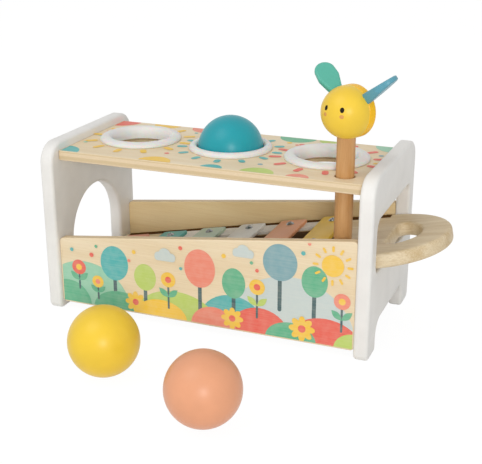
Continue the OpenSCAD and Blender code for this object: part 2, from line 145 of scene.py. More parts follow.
class BoardSettings(bpy.types.PropertyGroup):
    top_corner_r: length("Top board corners", "Radius of the top board's corners", 1.5)
    top_edge_r: length("Top board edge", "Eased edge of the top board", 0.8)
    wall_edge_r: length("Wall edge", "Eased edge of the walls", 0.8)
    wall_r: length("Wall corners", "Corner radius of the walls", 3)
    front_left_h: length("Front wall, left", "Height of the front wall's left end", 54.8)
    front_lift: length("Front wall, right", "How far its right end stands above its node", 1.7)
    back_drop: length("Back wall drop", "How much lower the back wall's low end is", 4.8)
    sleeve_r: length("Collar holes", "Radius of the holes that hold the collars", 25.05)
    sleeve_edge_r: length("Collar hole edge", "Eased edge of the holes that hold the collars", 0.3)
    hammer_hole_r: length("Hammer hole", "Radius of the hammer's hole", 6.6)
    hammer_edge_r: length("Hammer hole edge", "Eased edge of the hammer's hole", 0.5)
    print_inset: length("Print margin", "Bare wood along the edges of a print", 1.3)
    plies: count("Plies", "Layers in the thickness of a board", 3)
    face_light: colour("Ply face, light", "Lighter tone of the plywood's face", "#F0DFC0")
    face_dark: colour("Ply face, dark", "Darker tone of the plywood's face", "#E5CFA9")
    back_light: colour("Back wall, light", "Lighter tone of the back wall's face", "#F4DDAE")
    back_dark: colour("Back wall, dark", "Darker tone of the back wall's face", "#E9CD98")
    edge_light: colour("Ply edge, light", "Long-grain layers along the plywood's edge", "#E6D0AE")
    edge_dark: colour("Ply edge, dark", "End-grain layers along the plywood's edge", "#D6BF97")


class CollarSettings(bpy.types.PropertyGroup):
    crest_h: length("Crest", "Height of the ring's round crest above the board", 3.8)
    rim_edge_r: length("Rim", "Round edge of the ring on the board", 0.9)
    lip_share: number("Lip", "Share of the ring's width inside its crest", 0.44)
    lip_slope: number("Lip depth", "Depth of the inner lip against its width", 1.5)
    sleeve_r: length("Sleeve", "Outer radius of the sleeve", 25)
    sleeve_depth: length("Sleeve depth", "Depth of the sleeve in the top board", 5)
    slack_r: length("Hole", "Radius of the hole of a slack collar", 20)
    stretched_r: length("Stretched hole", "Radius of the hole round the held ball", 23.35)
    paint: colour("Collar", "Soft white collar", "#E6E4E0")


class BallSettings(bpy.types.PropertyGroup):
    radius: length("Radius", "Radius of a ball", 23)
    flat: degrees("Lathe flat", "Half angle of the small flats where the lathe held a ball", 3.2)
    teal: colour("Teal", "Ball held in the middle collar", "#249CA8")
    yellow: colour("Yellow", "Left loose ball", "#F1CA3E")
    coral: colour("Coral", "Right loose ball", "#E6A37D")


class HammerSettings(bpy.types.PropertyGroup):
    dowel_r: length("Handle", "Radius of the handle", 6)
    foot_edge_r: length("Handle's foot", "Round edge of the handle's foot", 1.2)
    head_r: length("Head", "Radius of the head's dome", 16.9)
    head_back: length("Back", "Length of the head behind its dome", 9)
    band_from: length("Band", "Start of the golden band behind the dome", 2)
    groove: length("Groove", "Depth of the fine groove between the dome and the band", 0.35)
    rim_r: length("Rim", "Round rim of the head's back", 2.5)
    turn: degrees("Turn", "Turn of the face to the left", -26)
    ear_l: length("Ear length", "Length of an ear outside the head", 23.8)
    ear_seat: length("Ear seat", "Depth of an ear in the head", 4)
    ear_w: length("Ear width", "Widest part of an ear", 14.1)
    ear_belly: length("Ear belly", "Distance of an ear's widest part from the head", 12.4)
    ear_tip_w: length("Ear tip", "Width of an ear's round tip", 13.5)
    ear_root_w: length("Ear root", "Width of an ear at the head", 7.2)
    left_root_t: length("Left ear thickness, root", "Thickness of the left ear at the head", 5.7)
    right_root_t: length("Right ear thickness, root", "Thickness of the right ear at the head", 7.3)
    ear_tip_t: length("Ear thickness, tip", "Thickness of an ear at its tip", 3)
    ear_edge_r: length("Ear edge", "Round edge of an ear", 1.6)
    ear_out: degrees("Ear lean out", "Lean of the ears to the sides", 51)
    ear_back: degrees("Ear lean back", "Lean of the ears to the back", 8)
    left_toe: degrees("Left ear toe", "Turn of the left ear about its length", 29)
    right_toe: degrees("Right ear toe", "Turn of the right ear about its length", 13)
    ear_rise: degrees("Ear rise", "Height of the ears on the head", 38)
    ear_aft: degrees("Ear set back", "Angle from the head's middle back to the ears", 17)
    eye_side: degrees("Eyes apart", "Angle from the face's middle to an eye", 21)
    eye_turn: degrees("Face middle", "Angle of the face's middle off the head's axis", 8.8)
    eye_up: degrees("Eye height", "Height of the eyes over the head's middle", 15.7)
    cheek_up: degrees("Cheek height", "Height of the cheeks over the head's middle", 1.8)
    eye_w: length("Eye width", "Width of an eye", 2.8)
    eye_h: length("Eye length", "Length of an eye, up and down", 3.5)
    cheek_w: length("Cheek width", "Width of a cheek", 2.9)
    cheek_h: length("Cheek length", "Length of a cheek, up and down", 2.6)
    dome: colour("Dome", "Front of the head", "#F2CB42")
    # The band's deeper golden tone is partly a second paint and partly painted shade of the head's side
    band: colour("Band", "Side and back of the head", "#FBC004")
    eye: colour("Eyes", "Near-black face paint", "#1E170E")
    cheek: colour("Cheeks", "Rosy face paint", "#DCA05A")
    left_ear: colour("Left ear", "Mint lacquer", "#5CB4A0")
    right_ear: colour("Right ear", "Blue lacquer", "#5F9FB1")
    handle_light: colour("Handle, light", "Lighter tone of the handle's wood", "#CFA06A")
    handle_dark: colour("Handle, dark", "Darker tone of the handle's wood", "#BF8A50")


class XylophoneSettings(bpy.types.PropertyGroup):
    exit_z: length("Exit height", "Height of the base's face at the right panel", 69)
    stop_gap: length("Stop gap", "Gap between the base and the left panel", 0.3)
    half_w: length("Half width", "Half of the base's width", 44.5)
    base_t: length("Thickness", "Thickness of the base", 10)
    base_edge_r: length("Edge", "Roundover along the base", 2.5)
    base_corner_r: length("Corners", "Radius of the base's two lower corners", 5.5)
    handle_out: length("Handle middle", "Middle of the round end past the right panel's inner face", 4.5)
    loop_r: length("Hand hole", "Radius of the hand hole", 24.5)
    loop_flat: length("Hand hole, straight side", "Straight side past the middle of the round end", 4)
    loop_corner_r: length("Hand hole corners", "Radius of the hand hole's corners", 5)
    loop_edge_r: length("Hand hole edge", "Roundover along the hand hole", 2)
    hollow_depth: length("Hollow", "Depth of the sound hollow", 6.5)
    hollow_margin: length("Hollow margin", "Distance from the hollow to the rails", 1.5)
    hollow_r: length("Hollow corners", "Corner radius of the hollow", 2)
    key_count: count("Keys", "Number of keys", 6)
    key_pitch: length("Key pitch", "Distance between the keys", 32)
    key_first: length("First key", "Middle of the shortest key from the lower end", 24.5)
    key_w: length("Key width", "Width of a key", 20)
    key_t: length("Key thickness", "Thickness of a key", 2.5)
    key_r: length("Key corners", "Corner radius of a key", 2)
    key_edge_r: length("Key edge", "Roundover along a key", 0.5)
    key_over: length("Key past screw", "Length of a key past its screw", 10)
    screw_first: length("First screws", "Distance of the shortest key's screws from the middle", 11.5)
    screw_step: length("Screw step", "How much further out each next key's screws are", 2.3)
    screw_r: length("Screw head", "Radius of a screw's head", 3)
    screw_h: length("Screw height", "Height of a screw's head", 1.8)
    recess_l: length("Recess length", "Length of a screw's cross recess", 3)
    recess_w: length("Recess width", "Width of the recess's arms", 0.6)
    recess_d: length("Recess depth", "Depth of the recess", 0.9)
    rail_w: length("Rail width", "Width of a rail", 8)
    rail_h: length("Rail height", "Height of a rail", 2.6)
    rail_edge_r: length("Rail edge", "Round edge of a rail", 0.5)
    # The dark strips along the base's sides are painted shadow: dark felt laid where the gap between the base and
    # the walls is in shade
    sheet_t: length("Felt thickness", "Thickness of the felt mats and strips", 0.5)
    gap_shadow_in: length("Gap shadow strips, inside", "Inner edge of the dark strips from the base's sides", 8)
    gap_shadow_short: length("Gap shadow strips, end", "Where the dark strips end before the right panel", 1)
    wood_light: colour("Base, light", "Lighter tone of the base's wood", "#E9D8B8")
    wood_dark: colour("Base, dark", "Darker tone of the base's wood", "#C9AE80")
    # The hollow's darker colour is painted shade of the recess under the keys
    hollow: colour("Hollow", "Floor of the sound hollow, darkened as painted shade", "#8A6A48")
    # Colour of the painted shadow strips along the base's sides
    glide: colour("Gap shadow strips", "Painted shadow of the gap along the base's sides", "#573812")
    key_1: colour("Key 1", "Shortest key", "#EAA48E")
    key_2: colour("Key 2", "Second key", "#66B4AE")
    key_3: colour("Key 3", "Third key", "#C4D6C2")
    key_4: colour("Key 4", "Fourth key", "#F0EEE8")
    key_5: colour("Key 5", "Fifth key", "#F0AC80")
    key_6: colour("Key 6", "Longest key", "#FACF42")
    felt: colour("Rails", "Felt of the rails", "#F0EAE0")
    steel: colour("Screws", "Nickel-plated steel", "#A2A5A6")


class InkSettings(bpy.types.PropertyGroup):
    mint: colour("Mint", "Printed hills", "#97CDAF")
    green: colour("Green", "Printed hills and leaves", "#5DB289")
    lime: colour("Lime", "Printed hills and leaves", "#BBD168")
    yellow: colour("Yellow", "Printed sun and flowers", "#F4C640")
    coral: colour("Coral", "Printed flowers", "#E7604F")
    salmon: colour("Salmon", "Printed flowers", "#EE8A73")
    slate: colour("Slate", "Printed stems", "#3F5F62")
    grey_blue: colour("Grey blue", "Printed trunks and hills", "#7CA6AE")
    turquoise: colour("Turquoise", "Printed hills and marks", "#4FB2B0")
    mist: colour("Mist", "Printed far hills and clouds", "#C7D3D0")


class StageSettings(bpy.types.PropertyGroup):
    lens: number("Lens", "Focal length in millimetres on a 36 mm sensor", 72.47)
    yaw: degrees("Camera yaw", "Turn of the camera to the left", 21.767)
    pitch: degrees("Camera pitch", "Tilt of the camera down", 20.04)
    place: offset("Camera place", "From the floor under the bench's middle", (0.25318, -0.61343, 0.29728))
    aim: offset("Lamps' aim", "From the floor under the bench's middle", (0, -0.03, 0.06))
    key_place: offset("Key light place", "Large lamp, from the point it is aimed at", (-0.55, -0.75, 1.35))
    key_size: length("Key light size", "Width of the large lamp", 1100)
    key_power: number("Key light", "Power of the large lamp", 6, unit="POWER")
    fill_place: offset("Fill light place", "Front lamp, from the point it is aimed at", (0.7, -1.5, 0.5))
    fill_size: length("Fill light size", "Width of the low front lamp", 500)
    fill_power: number("Fill light", "Power of the low front lamp", 10.5, unit="POWER")
    ambient: number("Ambient", "Strength of the light from all round", 0.54)
    floor: colour("Floor", "Pale studio floor", "#EAEAE8")
    glow: number("Backdrop", "Share of plain white in the floor that is seen", 0.9)
    white: number("Backdrop white", "Strength of that plain white", 1.06)


class BenchSettings(bpy.types.PropertyGroup):
    panels: group("End panels", "The two white end panels", EndPanelSettings)
    boards: group("Boards", "Top board and walls", BoardSettings)
    collars: group("Collars", "Soft rings in the pounding holes", CollarSettings)
    balls: group("Balls", "Held ball and loose balls", BallSettings)
    hammer: group("Hammer", "Handle, head, face and ears", HammerSettings)
    xylophone: group("Xylophone", "Base, felt, keys and screws", XylophoneSettings)
    ink: group("Ink", "Colours of the prints", InkSettings)
    stage: group("Stage", "Floor, lamps and camera", StageSettings)


# Places


def middle(node):
    """Middle of a CAD node's box."""
    low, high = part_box(node)
    return (low + high) / 2


def bench_middle():
    """The point on the floor under the middle of the bench."""
    left, right = middle("left_end_panel"), middle("right_end_panel")
    return Vector(((left.x + right.x) / 2, left.y, 0))


def across(x):
    """Frame of an upright panel: u to the back, v up, w to the right."""
    origin = bench_middle()
    return Matrix(((0, 0, 1, x), (1, 0, 0, origin.y), (0, 1, 0, 0), (0, 0, 0, 1)))


def wall_frame(y, facing):
    """Frame of a wall: v up, w out of its outer face. facing is -1 for the front and 1 for the back."""
    origin = bench_middle()
    return Matrix(((-facing, 0, 0, origin.x), (0, 0, facing, y), (0, 1, 0, 0), (0, 0, 0, 1)))


def wall_heights(board, high, facing):
    """Heights of a wall's two ends, left and right as seen from outside."""
    if facing < 0:
        return board.front_left_h, high + board.front_lift
    return high, board.front_left_h - board.back_drop


def slope_axis():
    """Way that the xylophone slides out."""
    return Vector(next(j["axis"] for j in frame["joints"] if j["name"] == "xylophone_slide"))


def slope_frame(xylophone):
    """Frame of the xylophone: u up the slope, v to the back, w square to the base's upper face."""
    cos, _, sin = slope_axis()
    right_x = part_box("right_end_panel")[0].x
    left_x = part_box("left_end_panel")[1].x + xylophone.stop_gap
    z = xylophone.exit_z - (right_x - left_x) * sin / cos
    return Matrix(((cos, 0, -sin, left_x), (0, 1, 0, bench_middle().y), (sin, 0, cos, z), (0, 0, 0, 1)))


def up_slope(place, x):
    """How far up the xylophone's slope a place lies."""
    return (x - place[0][3]) / place[0][0]


def slope_turn():
    """Turn that lays a grain along the xylophone's slope."""
    axis = slope_axis()
    return (0, math.atan2(axis.z, axis.x), 0)


def key_u(xylophone, number):
    """Middle of a key, up the slope."""
    return xylophone.key_first + number * xylophone.key_pitch


def screw_y(xylophone, u):
    """Distance of the rails and screws from the base's middle."""
    return xylophone.screw_first + (u - xylophone.key_first) * xylophone.screw_step / xylophone.key_pitch


def rail_ends(xylophone):
    """Where the rails start and end, up the slope."""
    half = xylophone.key_w / 2
    return key_u(xylophone, 0) - half, key_u(xylophone, xylophone.key_count - 1) + half


def hollow_y(xylophone, u):
    """Half of the hollow's width."""
    return screw_y(xylophone, u) - xylophone.rail_w / 2 - xylophone.hollow_margin


def head_frame(hammer):
    """Frame of the hammer's head: the face looks along -Y."""
    centre = middle("hammer_handle")
    centre.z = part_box("hammer_head")[0].z + hammer.head_r
    return Matrix.Translation(centre) @ Matrix.Rotation(hammer.turn, 4, "Z")


# Shapes


def rounded(corners):
    """Closed outline through corners (x, y, radius), as points with normals out of the material.

    Runs anticlockwise round a plate, and clockwise round a hole in it.
    """
    loop = []
    for i, (x, y, radius) in enumerate(corners):
        corner = Vector((x, y))
        before = (corner - Vector(corners[i - 1][:2])).normalized()
        after = (Vector(corners[(i + 1) % len(corners)][:2]) - corner).normalized()
        angle = math.atan2(before.x * after.y - before.y * after.x, before.dot(after))
        start = corner - before * radius * math.tan(abs(angle) / 2)
        side = Vector((-before.y, before.x)) * math.copysign(radius, angle)
        steps = max(4, math.ceil(abs(angle) * radius / ARC_STEP))
        for k in range(steps + 1):
            turn = Matrix.Rotation(angle * k / steps, 2)
            point = start + side - turn @ side
            way = turn @ before
            if not loop or (point - loop[-1][0]).length > SAME_POINT:
                loop.append((point, Vector((way.y, -way.x))))
    if (loop[0][0] - loop[-1][0]).length <= SAME_POINT:
        loop.pop()
    return loop


def arc_loop(x, y, radius, start, end, out=1):
    """Part of an outline along an arc, without its last point. out is -1 round a hole."""
    steps = max(6, math.ceil(abs(end - start) * radius / ARC_STEP))
    ways = [start + (end - start) * k / steps for k in range(steps)]
    rays = [Vector((math.cos(a), math.sin(a))) for a in ways]
    return [(Vector((x, y)) + ray * radius, ray * out) for ray in rays]


def round_hole(x, y, radius):
    """Outline of a round hole in a plate."""
    return arc_loop(x, y, radius, 2 * math.pi, 0, -1)


def edge_rings(edge, thickness):
    """Inset and height of each ring over a plate's rounded edge, from its upper face to its lower.

    The first and last rings lie on the flat faces, and keep them flat in the light.
    """
    angles = [k * math.pi / 2 / EDGE_STEPS for k in range(EDGE_STEPS + 1)]
    upper = [(edge * FACE_INSET, thickness / 2)]
    upper += [(edge * (1 - math.sin(a)), thickness / 2 - edge * (1 - math.cos(a))) for a in angles]
    return upper + [(inset, -height) for inset, height in reversed(upper)]


def plate(outlines, thickness, pocket=None):
    """A flat plate about w = 0. outlines are (loop, edge radius): the outside first, then the holes.

    pocket is a (loop, depth) sunk into the upper face.
    """
    verts, faces, upper_face, lower_face = [], [], [], []

    def ring(loop, inset, height):
        first = len(verts)
        verts.extend((*(point - normal * inset), height) for point, normal in loop)
        return list(range(first, len(verts)))

    def bridge(a, b):
        n = len(a)
        faces.extend((a[i], b[i], b[(i + 1) % n], a[(i + 1) % n]) for i in range(n))

    def fill(rings):
        flat = [i for r in rings for i in r]
        lines = [[Vector(verts[i]) for i in r] for r in rings]
        faces.extend(tuple(flat[k] for k in corners) for corners in tessellate_polygon(lines))

    for loop, edge in outlines:
        rings = [ring(loop, inset, height) for inset, height in edge_rings(edge, thickness)]
        for a, b in zip(rings, rings[1:]):
            bridge(a, b)
        upper_face.append(rings[0])
        lower_face.append(rings[-1])
    if pocket:
        loop, depth = pocket
        rim, floor = ring(loop, 0, thickness / 2), ring(loop, 0, thickness / 2 - depth)
        bridge(rim, floor)
        fill([floor])
        upper_face.append(rim)
    fill(upper_face)
    fill(lower_face)
    return verts, faces


def lathe(profile, steps, closed=False):
    """Turns (radius, height) points about Z. A closed profile makes a ring."""
    verts, faces, rings = [], [], []
    for radius, height in profile:
        first = len(verts)
        if radius < WELD:
            verts.append((0, 0, height))
            rings.append([first] * steps)
            continue
        for k in range(steps):
            angle = 2 * math.pi * k / steps
            verts.append((radius * math.cos(angle), radius * math.sin(angle), height))
        rings.append(list(range(first, first + steps)))
    if closed:
        rings.append(rings[0])
    for a, b in zip(rings, rings[1:]):
        for k in range(steps):
            corners = dict.fromkeys((a[k], a[(k + 1) % steps], b[(k + 1) % steps], b[k]))
            if len(corners) > 2:
                faces.append(tuple(corners))
    return verts, faces


def arc(x, y, radius, start, end, steps=8):
    """Points of an arc in a profile, with angles in degrees."""
    angles = [math.radians(start + (end - start) * k / steps) for k in range(steps + 1)]
    return [(x + radius * math.cos(a), y + radius * math.sin(a)) for a in angles]


def close_up(mesh):
    """Merges a closed mesh's doubles, turns its faces outwards and smooths all but its sharp edges."""
    work = bmesh.new()
    work.from_mesh(mesh)
    bmesh.ops.remove_doubles(work, verts=work.verts, dist=WELD)
    bmesh.ops.recalc_face_normals(work, faces=work.faces)
    work.to_mesh(mesh)
    work.free()
    mesh.shade_smooth()
    mesh.set_sharp_from_angle(angle=SHARP)


def add_object(name, verts, faces, material=None):
    """A mesh object in the scene."""
    mesh = bpy.data.meshes.new(name)
    mesh.from_pydata(verts, [], faces)
    if material:
        mesh.materials.append(material)
    made = bpy.data.objects.new(name, mesh)
    bpy.context.scene.collection.objects.link(made)
    return made


def solid(name, shape, place, material):
    """A closed mesh object, with its place in its mesh."""
    made = add_object(name, [place @ Vector(v) for v in shape[0]], shape[1], material)
    close_up(made.data)
    return made


def stand_for(made, body, slot, *nodes):
    """Puts a finished piece on its body, in place of its CAD nodes."""
    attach(made, body)
    if nodes:
        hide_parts(*nodes)


def dress(node, material):
    """Gives a CAD node that keeps its own shape a finished material."""
    mesh = frame["nodes"][node].data
    mesh.materials.clear()
    mesh.materials.append(material)


def settle(made):
    """Turns an object's modifiers into plain mesh."""
    graph = bpy.context.evaluated_depsgraph_get()
    mesh = bpy.data.meshes.new_from_object(made.evaluated_get(graph))
    if not mesh.polygons:
        raise RuntimeError(made.name + " came out empty")
    made.modifiers.clear()
    made.data = mesh
    return made


# Materials

# A Mix node for colours: its settings, and the sockets of its two colours
IN_COLOUR = {"output": 2, "data_type": "RGBA"}
MIX_A, MIX_B = 6, 7


def add_node(tree, kind, inputs=None, output=0, **options):
    """Adds a node with its settings and links, and gives back one of its outputs.

    inputs gives a socket, by name or number, a value or another node's output.
    """
    node = tree.nodes.new(kind)
    for key, value in options.items():
        setattr(node, key, value)
    for key, value in (inputs or {}).items():
        if isinstance(value, bpy.types.NodeSocket):
            tree.links.new(value, node.inputs[key])
        else:
            node.inputs[key].default_value = value
    return node.outputs[output] if node.outputs else None


def new_material(name, roughness, **values):
    """A material with its numbers on the shader's own sockets."""
    material = bpy.data.materials.new(name)
    material.use_nodes = True
    shader = material.node_tree.nodes["Principled BSDF"]
    shader.inputs["Roughness"].default_value = roughness
    for key, value in values.items():
        shader.inputs[key.replace("_", " ")].default_value = value
    return material, material.node_tree, shader


def in_mm(tree, turn=(0, 0, 0)):
    """Object coordinates in millimetres, turned to lay the grain along X."""
    place = add_node(tree, "ShaderNodeTexCoord", output="Object")
    return add_node(tree, "ShaderNodeMapping", {"Vector": place, "Scale": (1 / MM,) * 3, "Rotation": turn})


def surface(tree, shader, shade, height, strength, depth):
    """Gives the shader its colour, and a relief of the given depth in millimetres."""
    tree.links.new(shade, shader.inputs["Base Color"])
    relief = {"Height": height, "Strength": strength, "Distance": depth * MM}
    tree.links.new(add_node(tree, "ShaderNodeBump", relief), shader.inputs["Normal"])


def tone(rgba, factor):
    """A colour made lighter or darker."""
    return (*(min(1.0, c * factor) for c in rgba[:3]), 1.0)


def shaded(tree, pattern, low, high, first, second, most=1.0):
    """Colour that turns from one to another as a pattern rises from low to high.

    most is the largest share of the second colour.
    """
    rise = {"Value": pattern, "From Min": low, "From Max": high, "To Max": most}
    share = add_node(tree, "ShaderNodeMapRange", rise)
    return add_node(tree, "ShaderNodeMix", {0: share, MIX_A: first, MIX_B: second}, **IN_COLOUR)


def mottled(tree, coords, size, first, second):
    """Colour that drifts between two tones in patches of the given size in millimetres."""
    patch = add_node(tree, "ShaderNodeTexNoise", {"Vector": coords, "Scale": 1 / size, "Detail": 3})
    return shaded(tree, patch, 0.3, 0.7, first, second)


def streaks(tree, coords, size, detail=3):
    """Streaks along X of the given length and widths in millimetres."""
    sized = add_node(tree, "ShaderNodeMapping", {"Vector": coords, "Scale": [1 / s for s in size]})
    return add_node(tree, "ShaderNodeTexNoise", {"Vector": sized, "Scale": 1, "Detail": detail})


def grain(tree, coords, light, dark, figure, pores):
    """Colour and height of planed wood: broad figure, fine streaks and short dark pores along X.

    Real pores are a tenth of a millimetre wide, and are drawn three times as coarse so that they show.
    """
    broad, fine = streaks(tree, coords, figure, 4), streaks(tree, coords, (34, 0.8, 0.8))
    pore = streaks(tree, coords, (4.5, 0.32, 0.32), 1)
    both = add_node(tree, "ShaderNodeMix", {"Factor": 0.4, "A": broad, "B": fine})
    shade = shaded(tree, both, 0.36, 0.64, light, dark)
    rise = {"Value": pore, "From Min": 0.6, "From Max": 0.72, "To Max": pores}
    depth = add_node(tree, "ShaderNodeMapRange", rise)
    shade = add_node(tree, "ShaderNodeMix", {0: depth, MIX_A: shade, MIX_B: tone(dark, 0.62)}, **IN_COLOUR)
    return shade, add_node(tree, "ShaderNodeMath", {0: fine, 1: depth}, operation="SUBTRACT")


def planed_wood(name, light, dark, turn=(0, 0, 0), figure=(80, 7, 7)):
    # Planed beech or birch under a thin clear finish: warm streaks, short pores and a soft sheen
    material, tree, shader = new_material(name, 0.5, Coat_Weight=0.05)
    shade, height = grain(tree, in_mm(tree, turn), tuple(light), tuple(dark), figure, 0.3)
    surface(tree, shader, shade, height, strength=0.18, depth=0.12)
    return material


def plywood(name, board, light, dark, normal_axis, low, thick):
    # Sanded birch plywood: a calm pale face, and light and dark layers along the edges
    material, tree, shader = new_material(name, 0.55, Coat_Weight=0.03)
    coords = in_mm(tree)
    face, height = grain(tree, coords, tuple(light), tuple(dark), (120, 14, 14), 0.16)
    depth = add_node(tree, "ShaderNodeSeparateXYZ", {0: coords}, normal_axis)
    through = {"Value": depth, "From Min": low / MM, "From Max": (low + thick) / MM, "To Max": board.plies}
    layer = add_node(tree, "ShaderNodeMapRange", through)
    wave = add_node(tree, "ShaderNodeMath", {0: layer, 1: 1.0}, operation="PINGPONG")
    edge = shaded(tree, wave, 0.4, 0.6, tuple(board.edge_light), tuple(board.edge_dark))
    flecks = streaks(tree, coords, (2.5, 2.5, 0.5), 2)
    edge = shaded(tree, flecks, 0.4, 0.7, edge, tone(board.edge_dark, 0.85), most=0.25)
    normal = add_node(tree, "ShaderNodeNewGeometry", output="Normal")
    facing = add_node(tree, "ShaderNodeSeparateXYZ", {0: normal}, normal_axis)
    facing = add_node(tree, "ShaderNodeMath", {0: facing}, operation="ABSOLUTE")
    surface(tree, shader, shaded(tree, facing, 0.55, 0.85, edge, face), height, strength=0.1, depth=0.1)
    return material


def lacquer(name, paint, roughness=0.36, coat=0.06, fibre=0.25):
    # Satin lacquer on wood: an even colour, with faint fibres and orange peel in its sheen
    material, tree, shader = new_material(
        name, roughness, Coat_Weight=coat, Coat_Roughness=0.28, Specular_IOR_Level=0.25
    )
    coords = in_mm(tree)
    shade = mottled(tree, coords, 16, tone(paint, 0.96), tone(paint, 1.03))
    peel = add_node(tree, "ShaderNodeTexNoise", {"Vector": coords, "Scale": 1 / 1.3, "Detail": 1})
    fibres = streaks(tree, coords, (14, 0.9, 0.9), 2)
    height = add_node(tree, "ShaderNodeMath", {0: fibres, 1: fibre, 2: peel}, operation="MULTIPLY_ADD")
    surface(tree, shader, shade, height, strength=0.06, depth=0.15)
    return material


def smooth_coat(name, paint, roughness, patch, tones, skin, relief, detail=1, **values):
    """A coat whose colour drifts between two tones in patches, with a fine skin.

    patch and skin are sizes in millimetres, and relief is the skin's strength and depth.
    """
    material, tree, shader = new_material(name, roughness, **values)
    coords = in_mm(tree)
    shade = mottled(tree, coords, patch, tone(paint, tones[0]), tone(paint, tones[1]))
    bumps = add_node(tree, "ShaderNodeTexNoise", {"Vector": coords, "Scale": 1 / skin, "Detail": detail})
    surface(tree, shader, shade, bumps, *relief)
    return material


def enamel(name, paint):
    # Baked enamel on a metal bar: smooth and satin, with a faint peel
    gloss = {"Coat_Weight": 0.03, "Coat_Roughness": 0.3, "Specular_IOR_Level": 0.2}
    return smooth_coat(
        name, paint, roughness=0.42, patch=9, tones=(0.96, 1.02), skin=0.9, relief=(0.05, 0.08), **gloss
    )


def soft_rubber(name, paint):
    # Soft moulded collar: matt, faintly see-through, with a fine moulded skin
    depth = {"Subsurface_Weight": 0.4, "Subsurface_Scale": 4 * MM}
    return smooth_coat(
        name, paint, roughness=0.5, patch=10, tones=(0.97, 1.01), skin=0.5, relief=(0.08, 0.08),
        detail=2, **depth,
    )


def face_paint(name, paint):
    # A dab of matt face paint: dark and even, with hardly any sheen
    gloss = {"Specular_IOR_Level": 0.15}
    return smooth_coat(
        name, paint, roughness=0.6, patch=0.8, tones=(0.9, 1.1), skin=0.4, relief=(0.05, 0.05), **gloss
    )


def pressed_felt(name, paint, sheen=0.3):
    # Pressed wool felt: dull and fuzzy, with short crossing fibres drawn coarse enough to show
    material, tree, shader = new_material(name, 0.95, Sheen_Weight=sheen, Specular_IOR_Level=0.1)
    coords = in_mm(tree)
    along, over = streaks(tree, coords, (3, 0.25, 0.25), 2), streaks(tree, coords, (0.25, 3, 0.25), 2)
    fibres = add_node(tree, "ShaderNodeMath", {0: along, 1: over}, operation="ADD")
    shade = shaded(tree, fibres, 0.75, 1.25, tone(paint, 0.86), tone(paint, 1.04))
    surface(tree, shader, shade, fibres, strength=0.4, depth=0.2)
    return material


def plated_steel(name, paint):
    # Nickel-plated steel: bright metal with fine turning marks
    material, tree, shader = new_material(name, 0.32, Metallic=1.0)
    coords = in_mm(tree)
    marks = streaks(tree, coords, (0.15, 0.15, 2.0), 2)
    shade = shaded(tree, marks, 0.3, 0.7, tone(paint, 0.82), tuple(paint))
    surface(tree, shader, shade, marks, strength=0.08, depth=0.03)
    return material


def ink(name, paint=None):
    # Ink printed on wood: flat and matt, a little uneven, with the pale grain showing through.
    # Without a paint it takes the mesh's own colours
    material, tree, shader = new_material(name, 0.55, Coat_Weight=0.03)
    coords = in_mm(tree)
    base = tuple(paint) if paint is not None else add_node(tree, "ShaderNodeAttribute", attribute_name="ink")
    fine = streaks(tree, coords, (30, 0.8, 0.8))
    patch = add_node(tree, "ShaderNodeTexNoise", {"Vector": coords, "Scale": 1 / 5, "Detail": 3})
    worn = add_node(tree, "ShaderNodeMath", {0: fine, 1: patch}, operation="ADD")
    shade = shaded(tree, worn, 0.7, 1.3, base, linear("#F6EFDF"), most=0.14)
    surface(tree, shader, shade, fine, strength=0.1, depth=0.1)
    return material


# Prints


def turned(points, x, y, turn):
    """Points turned by an angle in degrees and set down at x, y."""
    c, s = math.cos(math.radians(turn)), math.sin(math.radians(turn))
    return [(x + a * c - b * s, y + a * s + b * c) for a, b in points]


def ellipse(x, y, rx, ry, turn=0.0, steps=40):
    """Points round an ellipse about x, y."""
    angles = [2 * math.pi * k / steps for k in range(steps)]
    return turned([(rx * math.cos(a), ry * math.sin(a)) for a in angles], x, y, turn)


def disc(x, y, r):
    return ellipse(x, y, r, r)


def leaf(x, y, long, wide, turn, steps=14):
    """A plain pointed leaf from its stalk at x, y."""
    right = [(long * k / steps, -wide / 2 * math.sin(math.pi * k / steps)) for k in range(steps)]
    left = [(long * k / steps, wide / 2 * math.sin(math.pi * k / steps)) for k in range(steps, 0, -1)]
    return turned(right + left, x, y, turn)


def bar(x, y, long, wide, turn):
    """A bar with round ends, about its middle."""
    half = long / 2 - wide / 2
    return turned(arc(half, 0, wide / 2, -90, 90) + arc(-half, 0, wide / 2, 90, 270), x, y, turn)


def daisy(x, y, r, petals, petal_ink, eye_ink):
    """A flower of plain round petals."""
    reach, long, wide, eye = 0.62 * r, 0.4 * r, 0.26 * r, 0.3 * r
    marks = []
    for k in range(petals):
        turn = 360 * k / petals
        (px, py), = turned([(reach, 0)], x, y, turn)
        marks.append((petal_ink, ellipse(px, py, long, wide, turn)))
    return marks + [(eye_ink, disc(x, y, eye))]


def round_tree(x, foot, top, rx, ry, trunk_ink, crown_ink):
    """A tree with a straight trunk and a round crown."""
    wide = 2.8
    trunk = bar(x, (foot + top) / 2, top - foot, wide, 90)
    return [(trunk_ink, trunk), (crown_ink, ellipse(x, top, rx, ry))]


def stalk(x, foot, top, r, stem_ink, leaf_ink, flower_ink, eye_ink):
    """A round flower on a stalk with one pair of leaves."""
    fork, wide = foot + (top - foot) * 0.4, 1.5
    leaf_l, leaf_w, eye = r * 1.7, r * 0.8, r * 0.42
    return [
        (stem_ink, bar(x, (foot + top) / 2, top - foot, wide, 90)),
        (leaf_ink, leaf(x, fork, leaf_l, leaf_w, 42)),
        (leaf_ink, leaf(x, fork, leaf_l, leaf_w, 138)),
        (flower_ink, disc(x, top, r)),
        (eye_ink, disc(x, top, eye)),
    ]


def sun(x, y, r, rays):
    """A disc with short rays round it."""
    reach, long, wide = 1.55 * r, 0.55 * r, 0.22 * r
    marks = [("yellow", disc(x, y, r))]
    for k in range(rays):
        turn = 360 * k / rays
        (px, py), = turned([(reach, 0)], x, y, turn)
        marks.append(("yellow", bar(px, py, long, wide, turn)))
    return marks


